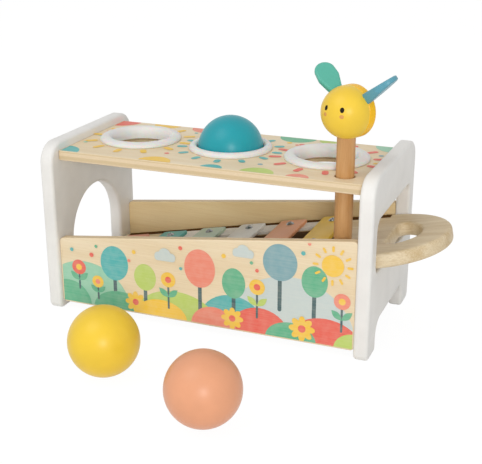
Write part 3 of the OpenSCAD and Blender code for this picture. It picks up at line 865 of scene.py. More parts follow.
def cloud(x, y, r):
    """Three puffs on a flat foot."""
    puffs = [disc(x - r, y, 0.7 * r), disc(x, y + 0.35 * r, r), disc(x + 1.1 * r, y, 0.65 * r)]
    foot = bar(x, y - 0.25 * r, 3.4 * r, 0.9 * r, 0)
    return [("mist", puff) for puff in puffs + [foot]]


def hills(places):
    """Overlapping hills from (ink, middle, half width, height), on the lower edge."""
    return [(name, ellipse(x, 0, half, high)) for name, x, half, high in places]


def dots(places):
    """Round dots from (ink, x, y, radius)."""
    return [(name, disc(x, y, r)) for name, x, y, r in places]


def front_design():
    """A meadow with hills, trees, flowers, a sun and dots. Millimetres from the wall's lower middle."""
    return (
        hills([
            ("mint", -90, 36, 34), ("mist", 66, 46, 46), ("turquoise", 24, 26, 26), ("lime", -18, 32, 22),
        ])
        + round_tree(-66, 8, 36, 11, 13, "slate", "turquoise")
        + round_tree(-42, 6, 29, 8.5, 10, "slate", "lime")
        + round_tree(0, 10, 42, 11.5, 14, "slate", "salmon")
        + round_tree(25, 8, 35, 8.5, 11, "slate", "green")
        + round_tree(58, 20, 55, 12, 13, "slate", "grey_blue")
        + round_tree(82, 18, 45, 9, 11, "slate", "green")
        + hills([
            ("green", -62, 22, 15), ("coral", 90, 26, 20), ("coral", 44, 22, 20), ("yellow", -30, 20, 14),
            ("green", 66, 18, 13), ("green", -104, 18, 18), ("lime", 110, 14, 12), ("salmon", 10, 17, 15),
        ])
        + stalk(-95, 12, 29, 5.6, "slate", "green", "coral", "yellow")
        + stalk(-80, 6, 20, 4.6, "slate", "green", "yellow", "salmon")
        + stalk(-24, 8, 30, 5.6, "slate", "green", "yellow", "coral")
        + stalk(42, 12, 35, 5.6, "slate", "lime", "yellow", "coral")
        + stalk(101, 12, 34, 5.6, "slate", "green", "salmon", "yellow")
        + daisy(-50, 9, 8, 8, "yellow", "coral")
        + daisy(24, 9, 8, 8, "yellow", "coral")
        + daisy(74, 10, 9, 8, "yellow", "coral")
        + sun(94, 58, 7.5, 12)
        + cloud(-26, 47, 4.6)
        + cloud(32, 58, 4.4)
        + dots([
            ("coral", -84, 40, 1.7), ("turquoise", -100, 42, 1.4), ("yellow", -50, 47, 1.5),
            ("coral", -14, 55, 1.5), ("turquoise", -14, 40, 1.2), ("yellow", 18, 54, 1.6),
            ("coral", 42, 47, 1.3), ("turquoise", 74, 64, 1.5), ("salmon", 78, 71, 1.2),
            ("green", -80, 47, 1.2), ("salmon", -54, 40, 1.2), ("green", 38, 52, 1.2),
        ])
    )


def back_design():
    """The same meadow, plainer, for the wall that the photograph doesn't show."""
    return (
        hills([("mist", -50, 44, 40), ("mint", 40, 46, 30), ("lime", 92, 26, 20)])
        + round_tree(-70, 14, 50, 9, 11, "slate", "green")
        + round_tree(-30, 12, 44, 8, 10, "grey_blue", "salmon")
        + round_tree(30, 12, 38, 7, 9, "slate", "turquoise")
        + hills([
            ("green", -86, 24, 14), ("coral", -40, 18, 12), ("yellow", 4, 18, 11), ("turquoise", 62, 20, 13),
        ])
        + stalk(-2, 6, 26, 4.2, "slate", "green", "coral", "yellow")
        + stalk(58, 8, 26, 4.2, "slate", "lime", "yellow", "coral")
        + sun(-94, 58, 7, 12)
        + cloud(0, 52, 4.2)
    )


def top_design():
    """Half discs along the board's edges and dots between the holes. Millimetres from the bench's middle."""
    return dots([
        ("turquoise", -110, -50, 15), ("coral", -110, 46.5, 17), ("yellow", -70, 46.5, 11),
        ("salmon", -36, 46.5, 13), ("green", 36, 46.5, 14), ("lime", 62, 46.5, 10), ("yellow", -36, -50, 12),
        ("lime", 38, -50, 12), ("mint", 110, 46.5, 16), ("turquoise", 6, -50, 8), ("salmon", 66, -50, 8),
        ("coral", -36, -28, 1.8), ("green", -30, 28, 2.0), ("turquoise", -40, 31, 1.4),
        ("yellow", 34, 30, 2.0), ("coral", 41, 26, 1.4), ("grey_blue", 34, -30, 1.8), ("mint", -104, 0, 2.2),
        ("coral", -104, 12, 1.5), ("grey_blue", 104, 20, 1.8), ("yellow", 105, 0, 1.6),
        ("mint", -104, -22, 1.6),
    ])


def clipped(points, outline):
    """The part of a convex shape that lies inside a convex anticlockwise outline."""
    for (ax, ay), (bx, by) in zip(outline, outline[1:] + outline[:1]):
        sides = [(bx - ax) * (y - ay) - (by - ay) * (x - ax) for x, y in points]
        kept = []
        for i, (p, a) in enumerate(zip(points, sides)):
            q, b = points[(i + 1) % len(points)], sides[(i + 1) % len(points)]
            if a >= 0:
                kept.append(p)
            if a * b < 0:
                t = a / (a - b)
                kept.append((p[0] + t * (q[0] - p[0]), p[1] + t * (q[1] - p[1])))
        points = kept
        if len(points) < 3:
            return []
    return points


def printed(name, design, outline, height, place, inks):
    """A print: each mark is a thin flat shape over the one before it, in its own colour."""
    verts, faces, colours = [], [], []
    for layer, (ink_name, points) in enumerate(design):
        shape = clipped(points, outline)
        if not shape:
            continue
        lift = height + INK_LIFT + layer * INK_STEP
        faces.append(tuple(range(len(verts), len(verts) + len(shape))))
        verts.extend(place @ Vector((x * MM, y * MM, lift)) for x, y in shape)
        colours.append(tuple(getattr(inks, ink_name)))
    made = add_object(name, verts, faces, ink(name.replace("_", " ").capitalize() + " ink"))
    paint = made.data.color_attributes.new("ink", "FLOAT_COLOR", "CORNER")
    for face, rgba in zip(made.data.polygons, colours):
        for corner in face.loop_indices:
            paint.data[corner].color = rgba
    stand_for(made, "bench", "plywood")


# Geometry Nodes


def new_tree(name, **inputs):
    """A geometry tree with named inputs, listed by kind. Returns it, the inputs and their identifiers."""
    tree = bpy.data.node_groups.new(name, "GeometryNodeTree")
    for way in ("INPUT", "OUTPUT"):
        tree.interface.new_socket("Geometry", in_out=way, socket_type="NodeSocketGeometry")
    names = {}
    for kind, labels in inputs.items():
        for label in labels.split():
            socket = tree.interface.new_socket(label, in_out="INPUT", socket_type="NodeSocket" + kind)
            names[label] = socket.identifier
    return tree, add_node(tree, "NodeGroupInput").node.outputs, names


def end_tree(tree, geometry, turn, place, material):
    """Ends a tree: turns and places its geometry, and makes it plain mesh with its material."""
    lie = {"Geometry": geometry, "Rotation": turn, "Translation": place}
    real = add_node(tree, "GeometryNodeRealizeInstances", {0: add_node(tree, "GeometryNodeTransform", lie)})
    finished = add_node(tree, "GeometryNodeSetMaterial", {0: real, "Material": material})
    add_node(tree, "NodeGroupOutput", {0: finished})


def run_tree(made, tree, names, values):
    """Puts a tree on an object, with its inputs set before the first evaluation."""
    modifier = made.modifiers.new(tree.name, "NODES")
    modifier.node_group = tree
    for label, value in values.items():
        modifier[names[label]] = value


def marks_round_hole(material):
    """Tree that sets one mark on each of a ring of points, pointing away from the ring's middle."""
    tree, given, names = new_tree("Marks round a hole", Int="Count", Float="Radius", Vector="Turn Middle")
    ring = add_node(tree, "GeometryNodeMeshCircle", {"Vertices": given["Count"], "Radius": given["Radius"]})
    place = add_node(tree, "GeometryNodeInputPosition")
    turn = add_node(tree, "FunctionNodeAlignRotationToVector", {"Vector": place}, axis="X", pivot_axis="Z")
    each = {"Points": ring, "Instance": given["Geometry"], "Rotation": turn}
    marks = add_node(tree, "GeometryNodeInstanceOnPoints", each)
    end_tree(tree, marks, given["Turn"], given["Middle"], material)
    return tree, names


def graded_key(material):
    """Tree that cuts one key of the row: each next key is longer and lies further up the slope."""
    lengths = "First Pitch Width Shortest Growth Thickness Corner Height"
    tree, given, names = new_tree("Graded key", Int="Number", Float=lengths, Vector="Turn Origin")
    number, step = given["Number"], {"operation": "MULTIPLY_ADD"}
    long = add_node(tree, "ShaderNodeMath", {0: number, 1: given["Growth"], 2: given["Shortest"]}, **step)
    along = add_node(tree, "ShaderNodeMath", {0: number, 1: given["Pitch"], 2: given["First"]}, **step)
    sides = {"Width": given["Width"], "Height": long}
    outline = add_node(tree, "GeometryNodeCurvePrimitiveQuadrilateral", sides)
    corners = {"Curve": outline, "Count": 6, "Radius": given["Corner"]}
    outline = add_node(tree, "GeometryNodeFilletCurve", corners, mode="POLY")
    face = add_node(tree, "GeometryNodeFillCurve", {0: outline}, mode="NGONS")
    rise = add_node(tree, "ShaderNodeCombineXYZ", {2: given["Thickness"]})
    shell = add_node(tree, "GeometryNodeExtrudeMesh", {"Mesh": face, "Offset": rise})
    under = add_node(tree, "GeometryNodeFlipFaces", {0: face})
    closed = add_node(tree, "GeometryNodeJoinGeometry", {0: shell})
    tree.links.new(under, closed.node.inputs[0])
    merged = add_node(tree, "GeometryNodeMergeByDistance", {0: closed, "Distance": SAME_POINT})
    seat = add_node(tree, "ShaderNodeCombineXYZ", {0: along, 2: given["Height"]})
    seated = add_node(tree, "GeometryNodeTransform", {"Geometry": merged, "Translation": seat})
    end_tree(tree, seated, given["Turn"], given["Origin"], material)
    return tree, names


def screws_along_keys(material):
    """Tree that sets a screw on each key's two ends, along two lines that spread up the slope."""
    tree, given, names = new_tree("Screws along the keys", Int="Keys Seed", Vector="First Last Turn Origin")
    both = add_node(tree, "GeometryNodeJoinGeometry")
    for side in (-1, 1):
        first, last = (
            add_node(tree, "ShaderNodeVectorMath", {0: given[name], 1: (1, side, 1)}, operation="MULTIPLY")
            for name in ("First", "Last")
        )
        ends = {"Count": given["Keys"], "Start Location": first, "Offset": last}
        line = add_node(tree, "GeometryNodeMeshLine", ends, mode="END_POINTS")
        tree.links.new(line, both.node.inputs[0])
    turns = {0: (0, 0, 0), 1: (0, 0, math.pi), "Seed": given["Seed"]}
    spin = add_node(tree, "FunctionNodeRandomValue", turns, data_type="FLOAT_VECTOR")
    each = {"Points": both, "Instance": given["Geometry"], "Rotation": spin}
    screws = add_node(tree, "GeometryNodeInstanceOnPoints", each)
    end_tree(tree, screws, given["Turn"], given["Origin"], material)
    return tree, names


# Operators


class BENCH_OT_end_panels(bpy.types.Operator):
    """Builds the two white end panels with their doorway, window and foot gap"""

    bl_idname = "bench.end_panels"
    bl_label = "End panels"

    def execute(self, context):
        panel = context.scene.bench.panels
        low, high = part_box("left_end_panel")
        half, top, thick = (high.y - low.y) / 2, high.z, high.x - low.x
        paint = lacquer("White lacquer", panel.paint, roughness=0.45, coat=0.03, fibre=0.5)

        def outline(gap_w, gap_h, gap_r):
            return rounded([
                (-half, 0, panel.foot_r),
                (-gap_w / 2, 0, panel.foot_inner_r),
                (-gap_w / 2, gap_h, gap_r),
                (gap_w / 2, gap_h, gap_r),
                (gap_w / 2, 0, panel.foot_inner_r),
                (half, 0, panel.foot_r),
                (half, top, panel.corner_r),
                (-half, top, panel.corner_r),
            ])

        door = outline(panel.door_w, panel.door_h, panel.door_w / 2)
        place = across(middle("left_end_panel").x)
        left = solid("left_panel", plate([(door, panel.edge_r)], thick), place, paint)
        stand_for(left, "bench", "white_paint", "left_end_panel")
        side, sill, r = panel.window_w / 2, panel.window_z, panel.window_r
        lintel = sill + panel.window_h
        window = rounded([(-side, sill, r), (-side, lintel, r), (side, lintel, r), (side, sill, r)])
        gap = outline(panel.gap_w, panel.gap_h, panel.gap_r)
        place = across(middle("right_end_panel").x)
        shape = plate([(gap, panel.edge_r), (window, panel.window_edge_r)], thick)
        stand_for(solid("right_panel", shape, place, paint), "bench", "white_paint", "right_end_panel")
        return {"FINISHED"}


class BENCH_OT_boards(bpy.types.Operator):
    """Builds the top board and the two walls of plywood"""

    bl_idname = "bench.boards"
    bl_label = "Boards"

    def execute(self, context):
        board = context.scene.bench.boards
        self.top(board)
        self.wall(board, "front_wall", -1, "front_plywood", board.face_light, board.face_dark)
        self.wall(board, "back_wall", 1, "back_plywood", board.back_light, board.back_dark)
        return {"FINISHED"}

    def top(self, board):
        low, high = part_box("top_board")
        thick, r = high.z - low.z, board.top_corner_r
        outside = rounded([(low.x, low.y, r), (high.x, low.y, r), (high.x, high.y, r), (low.x, high.y, r)])
        loops = [(outside, board.top_edge_r)]
        for node in ("left_collar", "middle_collar", "right_collar"):
            centre = middle(node)
            loops.append((round_hole(centre.x, centre.y, board.sleeve_r), board.sleeve_edge_r))
        centre = middle("hammer_handle")
        loops.append((round_hole(centre.x, centre.y, board.hammer_hole_r), board.hammer_edge_r))
        light, dark = board.face_light, board.face_dark
        wood = plywood("Birch plywood, top board", board, light, dark, "Z", low.z, thick)
        place = Matrix.Translation((0, 0, low.z + thick / 2))
        stand_for(solid("top_plywood", plate(loops, thick), place, wood), "bench", "plywood", "top_board")

    def wall(self, board, node, facing, name, light, dark):
        low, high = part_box(node)
        half, thick, r = (high.x - low.x) / 2, high.y - low.y, board.wall_r
        left, right = wall_heights(board, high.z, facing)
        loop = rounded([(-half, low.z, r), (half, low.z, r), (half, right, r), (-half, left, r)])
        wood = plywood("Birch plywood, " + node.replace("_", " "), board, light, dark, "Y", low.y, thick)
        place = wall_frame(low.y + thick / 2, facing)
        made = solid(name, plate([(loop, board.wall_edge_r)], thick), place, wood)
        stand_for(made, "bench", "plywood", node)


class BENCH_OT_prints(bpy.types.Operator):
    """Prints plain hills, trees, flowers and dots on the walls and the top board"""

    bl_idname = "bench.prints"
    bl_label = "Prints"

    def execute(self, context):
        board, inks = context.scene.bench.boards, context.scene.bench.ink
        self.wall(board, inks, "front_wall", -1, "front_print", front_design())
        self.wall(board, inks, "back_wall", 1, "back_print", back_design())
        self.top(board, inks)
        self.ring(inks, "left_collar", "yellow", count=12, long=9.0)
        self.ring(inks, "middle_collar", "turquoise", count=13, long=7.5)
        # This ring starts half a step round, to clear the middle ring's first bar
        self.ring(inks, "right_collar", "coral", count=12, long=9.0, start=15)
        return {"FINISHED"}

    def wall(self, board, inks, node, facing, name, design):
        low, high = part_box(node)
        inset = board.print_inset / MM
        half = (high.x - low.x) / 2 / MM - inset
        left, right = ((h - low.z) / MM - inset for h in wall_heights(board, high.z, facing))
        outline = [(-half, inset), (half, inset), (half, right), (-half, left)]
        place = wall_frame((low.y + high.y) / 2, facing) @ Matrix.Translation((0, low.z, 0))
        printed(name, design, outline, (high.y - low.y) / 2, place, inks)

    def top(self, board, inks):
        low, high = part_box("top_board")
        origin, inset = bench_middle(), board.print_inset / MM
        x0, y0 = (c / MM + inset for c in (low - origin).xy)
        x1, y1 = (c / MM - inset for c in (high - origin).xy)
        outline = [(x0, y0), (x1, y0), (x1, y1), (x0, y1)]
        printed("top_print", top_design(), outline, high.z, Matrix.Translation(origin), inks)

    def ring(self, inks, node, ink_name, count, long, start=0):
        """Short bars round a pounding hole. Lengths are in millimetres, and start is in degrees."""
        wide, gap = 4.4, 1.6
        low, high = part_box(node)
        points = bar(0, 0, long, wide, 0)
        name = node.replace("collar", "ring_print")
        made = add_object(name, [(x * MM, y * MM, 0) for x, y in points], [tuple(range(len(points)))])
        tree, names = marks_round_hole(ink(ink_name.capitalize() + " ring ink", getattr(inks, ink_name)))
        run_tree(made, tree, names, {
            "Count": count,
            "Radius": (high.x - low.x) / 2 + (long / 2 + gap) * MM,
            "Turn": (0, 0, math.radians(start)),
            "Middle": (*((low + high) / 2).xy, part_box("top_board")[1].z + RING_LIFT),
        })
        stand_for(settle(made), "bench", "plywood")


class BENCH_OT_collars(bpy.types.Operator):
    """Builds the three soft collars"""

    bl_idname = "bench.collars"
    bl_label = "Collars"

    def execute(self, context):
        collar = context.scene.bench.collars
        rubber = soft_rubber("Soft white rubber", collar.paint)
        board_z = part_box("top_board")[1].z
        holes = {
            "left_collar": collar.slack_r,
            "middle_collar": collar.stretched_r,
            "right_collar": collar.slack_r,
        }
        for node, hole in holes.items():
            low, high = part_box(node)
            centre, rim = (low + high) / 2, (high.x - low.x) / 2
            place = Matrix.Translation((centre.x, centre.y, board_z))
            shape = lathe(self.section(collar, rim, hole), TURNED_STEPS, closed=True)
            made = solid(node.replace("collar", "soft_collar"), shape, place, rubber)
            stand_for(made, "bench", "soft_collar", node)
        return {"FINISHED"}

    def section(self, collar, rim, hole):
        """A rim on the board, a round crest, a lip that turns down into the hole, and the sleeve."""
        edge, top, depth, sleeve = collar.rim_edge_r, collar.crest_h, collar.sleeve_depth, collar.sleeve_r
        ease, clear = 0.4 * MM, 0.02 * MM
        lip = collar.lip_share * (rim - hole)
        crest, drop = hole + lip, lip * collar.lip_slope
        foot = arc(rim - edge, edge, edge, -80, 0, 5)
        outside = [(crest + (rim - crest) * x, edge + (top - edge) * y) for x, y in arc(0, 0, 1, 8, 90, 12)]
        inside = [(crest + lip * x, top - drop * (1 - y)) for x, y in arc(0, 0, 1, 98, 180, 12)]
        lower = [
            (hole, ease - depth), (hole + ease, -depth),
            (sleeve - ease, -depth), (sleeve, ease - depth),
        ]
        return foot + outside + inside + lower + [(sleeve, clear)]


class BENCH_OT_balls(bpy.types.Operator):
    """Builds the three turned and lacquered balls"""

    bl_idname = "bench.balls"
    bl_label = "Balls"

    def execute(self, context):
        ball = context.scene.bench.balls
        flat, steps = ball.radius * math.cos(ball.flat), 72
        profile = []
        for k in range(steps + 1):
            angle = math.pi * k / steps
            height = max(-flat, min(flat, ball.radius * math.cos(angle)))
            profile.append((ball.radius * math.sin(angle), height))
        for node, body, slot, paint, tilt, turn in (
            ("teal_ball", "held_ball", "teal_paint", ball.teal, 70, 35),
            ("yellow_ball", "left_loose_ball", "yellow_paint", ball.yellow, 80, -40),
            ("coral_ball", "right_loose_ball", "coral_paint", ball.coral, 75, 140),
        ):
            finish = lacquer(node.replace("_", " ").capitalize() + " lacquer", paint)
            lie = Matrix.Rotation(math.radians(turn), 4, "Z") @ Matrix.Rotation(math.radians(tilt), 4, "X")
            place = Matrix.Translation(middle(node)) @ lie
            made = solid(node.replace("ball", "turned_ball"), lathe(profile, TURNED_STEPS), place, finish)
            stand_for(made, body, slot, node)
        return {"FINISHED"}


class BENCH_OT_hammer(bpy.types.Operator):
    """Builds the hammer: handle, head with a dotted face, and ears"""

    bl_idname = "bench.hammer"
    bl_label = "Hammer"

    def execute(self, context):
        hammer = context.scene.bench.hammer
        place = head_frame(hammer)
        self.handle(hammer)
        self.head(hammer, place)
        eye, cheek = face_paint("Black face paint", hammer.eye), face_paint("Rosy face paint", hammer.cheek)
        eye_half, cheek_half = (hammer.eye_w / 2, hammer.eye_h / 2), (hammer.cheek_w / 2, hammer.cheek_h / 2)
        for side, name in ((-1, "left"), (1, "right")):
            turn = hammer.eye_turn + side * hammer.eye_side
            self.dab(hammer, place, name + "_eye", turn, hammer.eye_up, eye_half, eye)
            self.dab(hammer, place, name + "_cheek", turn, hammer.cheek_up, cheek_half, cheek)
        mint, blue = lacquer("Mint lacquer", hammer.left_ear), lacquer("Blue lacquer", hammer.right_ear)
        self.ear(hammer, place, "left_ear", -1, hammer.left_toe, hammer.left_root_t, "mint_paint", mint)
        self.ear(hammer, place, "right_ear", 1, hammer.right_toe, hammer.right_root_t, "blue_paint", blue)
        return {"FINISHED"}

    def handle(self, hammer):
        low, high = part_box("hammer_handle")
        r, foot, top, ease = hammer.dowel_r, low.z, high.z, hammer.foot_edge_r
        profile = [(0, foot), (r - ease, foot)]
        profile += arc(r - ease, foot + ease, ease, -80, 0, 5)
        profile += [(r, top), (0, top)]
        # The grain runs up the handle
        upright = (0, math.pi / 2, 0)
        light, dark = hammer.handle_light, hammer.handle_dark
        wood = planed_wood("Oiled beech handle", light, dark, upright, figure=(60, 4, 4))
        place = Matrix.Translation((*((low + high) / 2).xy, 0))
        made = solid("turned_handle", lathe(profile, TURNED_STEPS // 2), place, wood)
        stand_for(made, "hammer", "beech_dark", "hammer_handle")

    def head(self, hammer, place):
        """A dome, a fine groove, and a golden band that runs round a rim to a flat back."""
        r, rim, back, groove = hammer.head_r, hammer.rim_r, hammer.head_back, hammer.groove
        dome = [(max(0.0, x), y) for x, y in arc(0, 0, r, 90, 0, 40)]
        seam = [(r - (groove - abs(d)), d - hammer.band_from) for d in (groove, 0, -groove)]
        band = arc(r - rim, rim - back, rim, 0, -90)
        # A ring just inside the rim keeps the back flat in the light
        flat = [(r - rim - 0.3 * MM, -back), (0, -back)]
        lie = place @ Matrix.Rotation(math.pi / 2, 4, "X")
        shape = lathe(dome + seam + band + flat, TURNED_STEPS)
        made = solid("turned_head", shape, lie, lacquer("Yellow lacquer, dome", hammer.dome))
        # The band's deeper golden tone is partly a second paint and partly painted shade of the head's side
        made.data.materials.append(lacquer("Golden lacquer, band", hammer.band))
        inverse = lie.inverted()
        for face in made.data.polygons:
            face.material_index = int((inverse @ face.center).z < groove - hammer.band_from)
        stand_for(made, "hammer", "yellow_paint", "hammer_head")

    def dab(self, hammer, place, name, turn, up, half, paint):
        """A round dab of paint that lies on the dome, thin at its rim."""
        out = Vector((math.sin(turn) * math.cos(up), -math.cos(turn) * math.cos(up), math.sin(up)))
        right = Vector((math.cos(turn), math.sin(turn), 0))
        above = right.cross(out)
        # Each ring's share of the dab's size, and its height over the dome in millimetres
        rings = ((0.4, 0.15), (0.75, 0.12), (0.95, 0.07), (1.0, -0.05))
        peak, steps = 0.16 * MM, 28
        verts = [out * (hammer.head_r + peak)]
        for share, lift in rings:
            for i in range(steps):
                a = 2 * math.pi * i / steps
                side = right * half[0] * share * math.cos(a) + above * half[1] * share * math.sin(a)
                verts.append((out * hammer.head_r + side).normalized() * (hammer.head_r + lift * MM))
        faces = [(0, 1 + i, 1 + (i + 1) % steps) for i in range(steps)]
        for ring in range(len(rings) - 1):
            a, b = 1 + ring * steps, 1 + (ring + 1) * steps
            faces += [(a + i, b + i, b + (i + 1) % steps, a + (i + 1) % steps) for i in range(steps)]
        stand_for(solid(name, (verts, faces), place, paint), "hammer", "yellow_paint")

    def ear(self, hammer, place, node, side, toe, root_t, slot, paint):
        """A paddle-shaped ear: from a narrow thick root it widens and thins to a round tip."""
        tip_r, belly_r, root_r = hammer.ear_tip_w / 2, hammer.ear_w / 2, hammer.ear_root_w / 2
        tip, belly, root = hammer.ear_l - tip_r, hammer.ear_belly, root_r - hammer.ear_seat
        flare = math.asin((belly_r - root_r) / (belly - root))
        close = math.asin((belly_r - tip_r) / (tip - belly))
        loop = arc_loop(0, belly, belly_r, -flare, close) + arc_loop(0, tip, tip_r, close, math.pi - close)
        loop += arc_loop(0, belly, belly_r, math.pi - close, math.pi + flare)
        loop += arc_loop(0, root, root_r, math.pi + flare, 2 * math.pi - flare)
        verts, faces = plate([(loop, hammer.ear_edge_r)], root_t)
        thin = 1 - hammer.ear_tip_t / root_t
        verts = [(u, v, w * (1 - thin * max(0.0, (v - root) / (hammer.ear_l - root)))) for u, v, w in verts]
        spin = Matrix.Rotation(side * hammer.ear_aft, 4, "Z")
        rise, r = hammer.ear_rise, hammer.head_r
        seat = Matrix.Translation((side * r * math.cos(rise), 0, r * math.sin(rise)))
        turn = Matrix.Rotation(side * hammer.ear_out, 4, "Y") @ Matrix.Rotation(-hammer.ear_back, 4, "X")
        turn = turn @ Matrix.Rotation(side * toe, 4, "Z")
        stand = Matrix(((0, 0, 1, 0), (1, 0, 0, 0), (0, 1, 0, 0), (0, 0, 0, 1)))
        lie = place @ spin @ seat @ spin.inverted() @ turn @ stand
        stand_for(solid(node + "_paddle", (verts, faces), lie, paint), "hammer", slot, node)


class BENCH_OT_xylophone_base(bpy.types.Operator):
    """Builds the xylophone's base with its loop handle and sound hollow"""

    bl_idname = "bench.xylophone_base"
    bl_label = "Xylophone base"

    def execute(self, context):
        xylophone = context.scene.bench.xylophone
        place, turn = slope_frame(xylophone), slope_turn()
        end = up_slope(place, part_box("right_end_panel")[0].x + xylophone.handle_out)
        half, r, thick = xylophone.half_w, xylophone.base_corner_r, xylophone.base_t
        tip = end + half
        outside = rounded([(0, -half, r), (tip, -half, half), (tip, half, half), (0, half, r)])
        loops = [(outside, xylophone.base_edge_r), (self.hand_hole(xylophone, end), xylophone.loop_edge_r)]
        shape = plate(loops, thick, (self.hollow(xylophone), xylophone.hollow_depth))
        light, dark = xylophone.wood_light, xylophone.wood_dark
        wood = planed_wood("Lacquered beech base", light, dark, turn, (120, 9, 9))
        made = solid("beech_base", shape, place @ Matrix.Translation((0, 0, -thick / 2)), wood)
        # The hollow's floor and walls take darker wood: painted shade of the recess under the keys
        painted_shade = planed_wood("Stained beech hollow", xylophone.hollow, tone(xylophone.hollow, 0.7), turn)
        made.data.materials.append(painted_shade)
        first, last = rail_ends(xylophone)
        inverse, near = place.inverted(), 0.1 * MM
        for face in made.data.polygons:
            spot = inverse @ face.center
            inside = first <= spot.x <= last and abs(spot.y) <= hollow_y(xylophone, spot.x) + near
            if inside and -xylophone.hollow_depth - near < spot.z < -near:
                face.material_index = 1
        stand_for(made, "xylophone", "beech", "xylophone_base")
        return {"FINISHED"}

    def hollow(self, xylophone):
        """Outline of the sound hollow between the rails."""
        first, last = rail_ends(xylophone)
        a, b, r = hollow_y(xylophone, first), hollow_y(xylophone, last), xylophone.hollow_r
        return rounded([(first, -a, r), (first, a, r), (last, b, r), (last, -b, r)])

    def hand_hole(self, xylophone, end):
        """A round hole with a straight side towards the keys and round corners."""
        flat, r, big = xylophone.loop_flat, xylophone.loop_corner_r, xylophone.loop_r
        x, y = flat + r, math.sqrt((big - r) ** 2 - (flat + r) ** 2)
        angle = math.atan2(y, x)
        return (
            arc_loop(end + x, y, r, math.pi, angle, -1)
            + arc_loop(end, 0, big, angle, -angle, -1)
            + arc_loop(end + x, -y, r, -angle, -math.pi, -1)
            + [(Vector((end + flat, -y)), Vector((1, 0)))]
        )


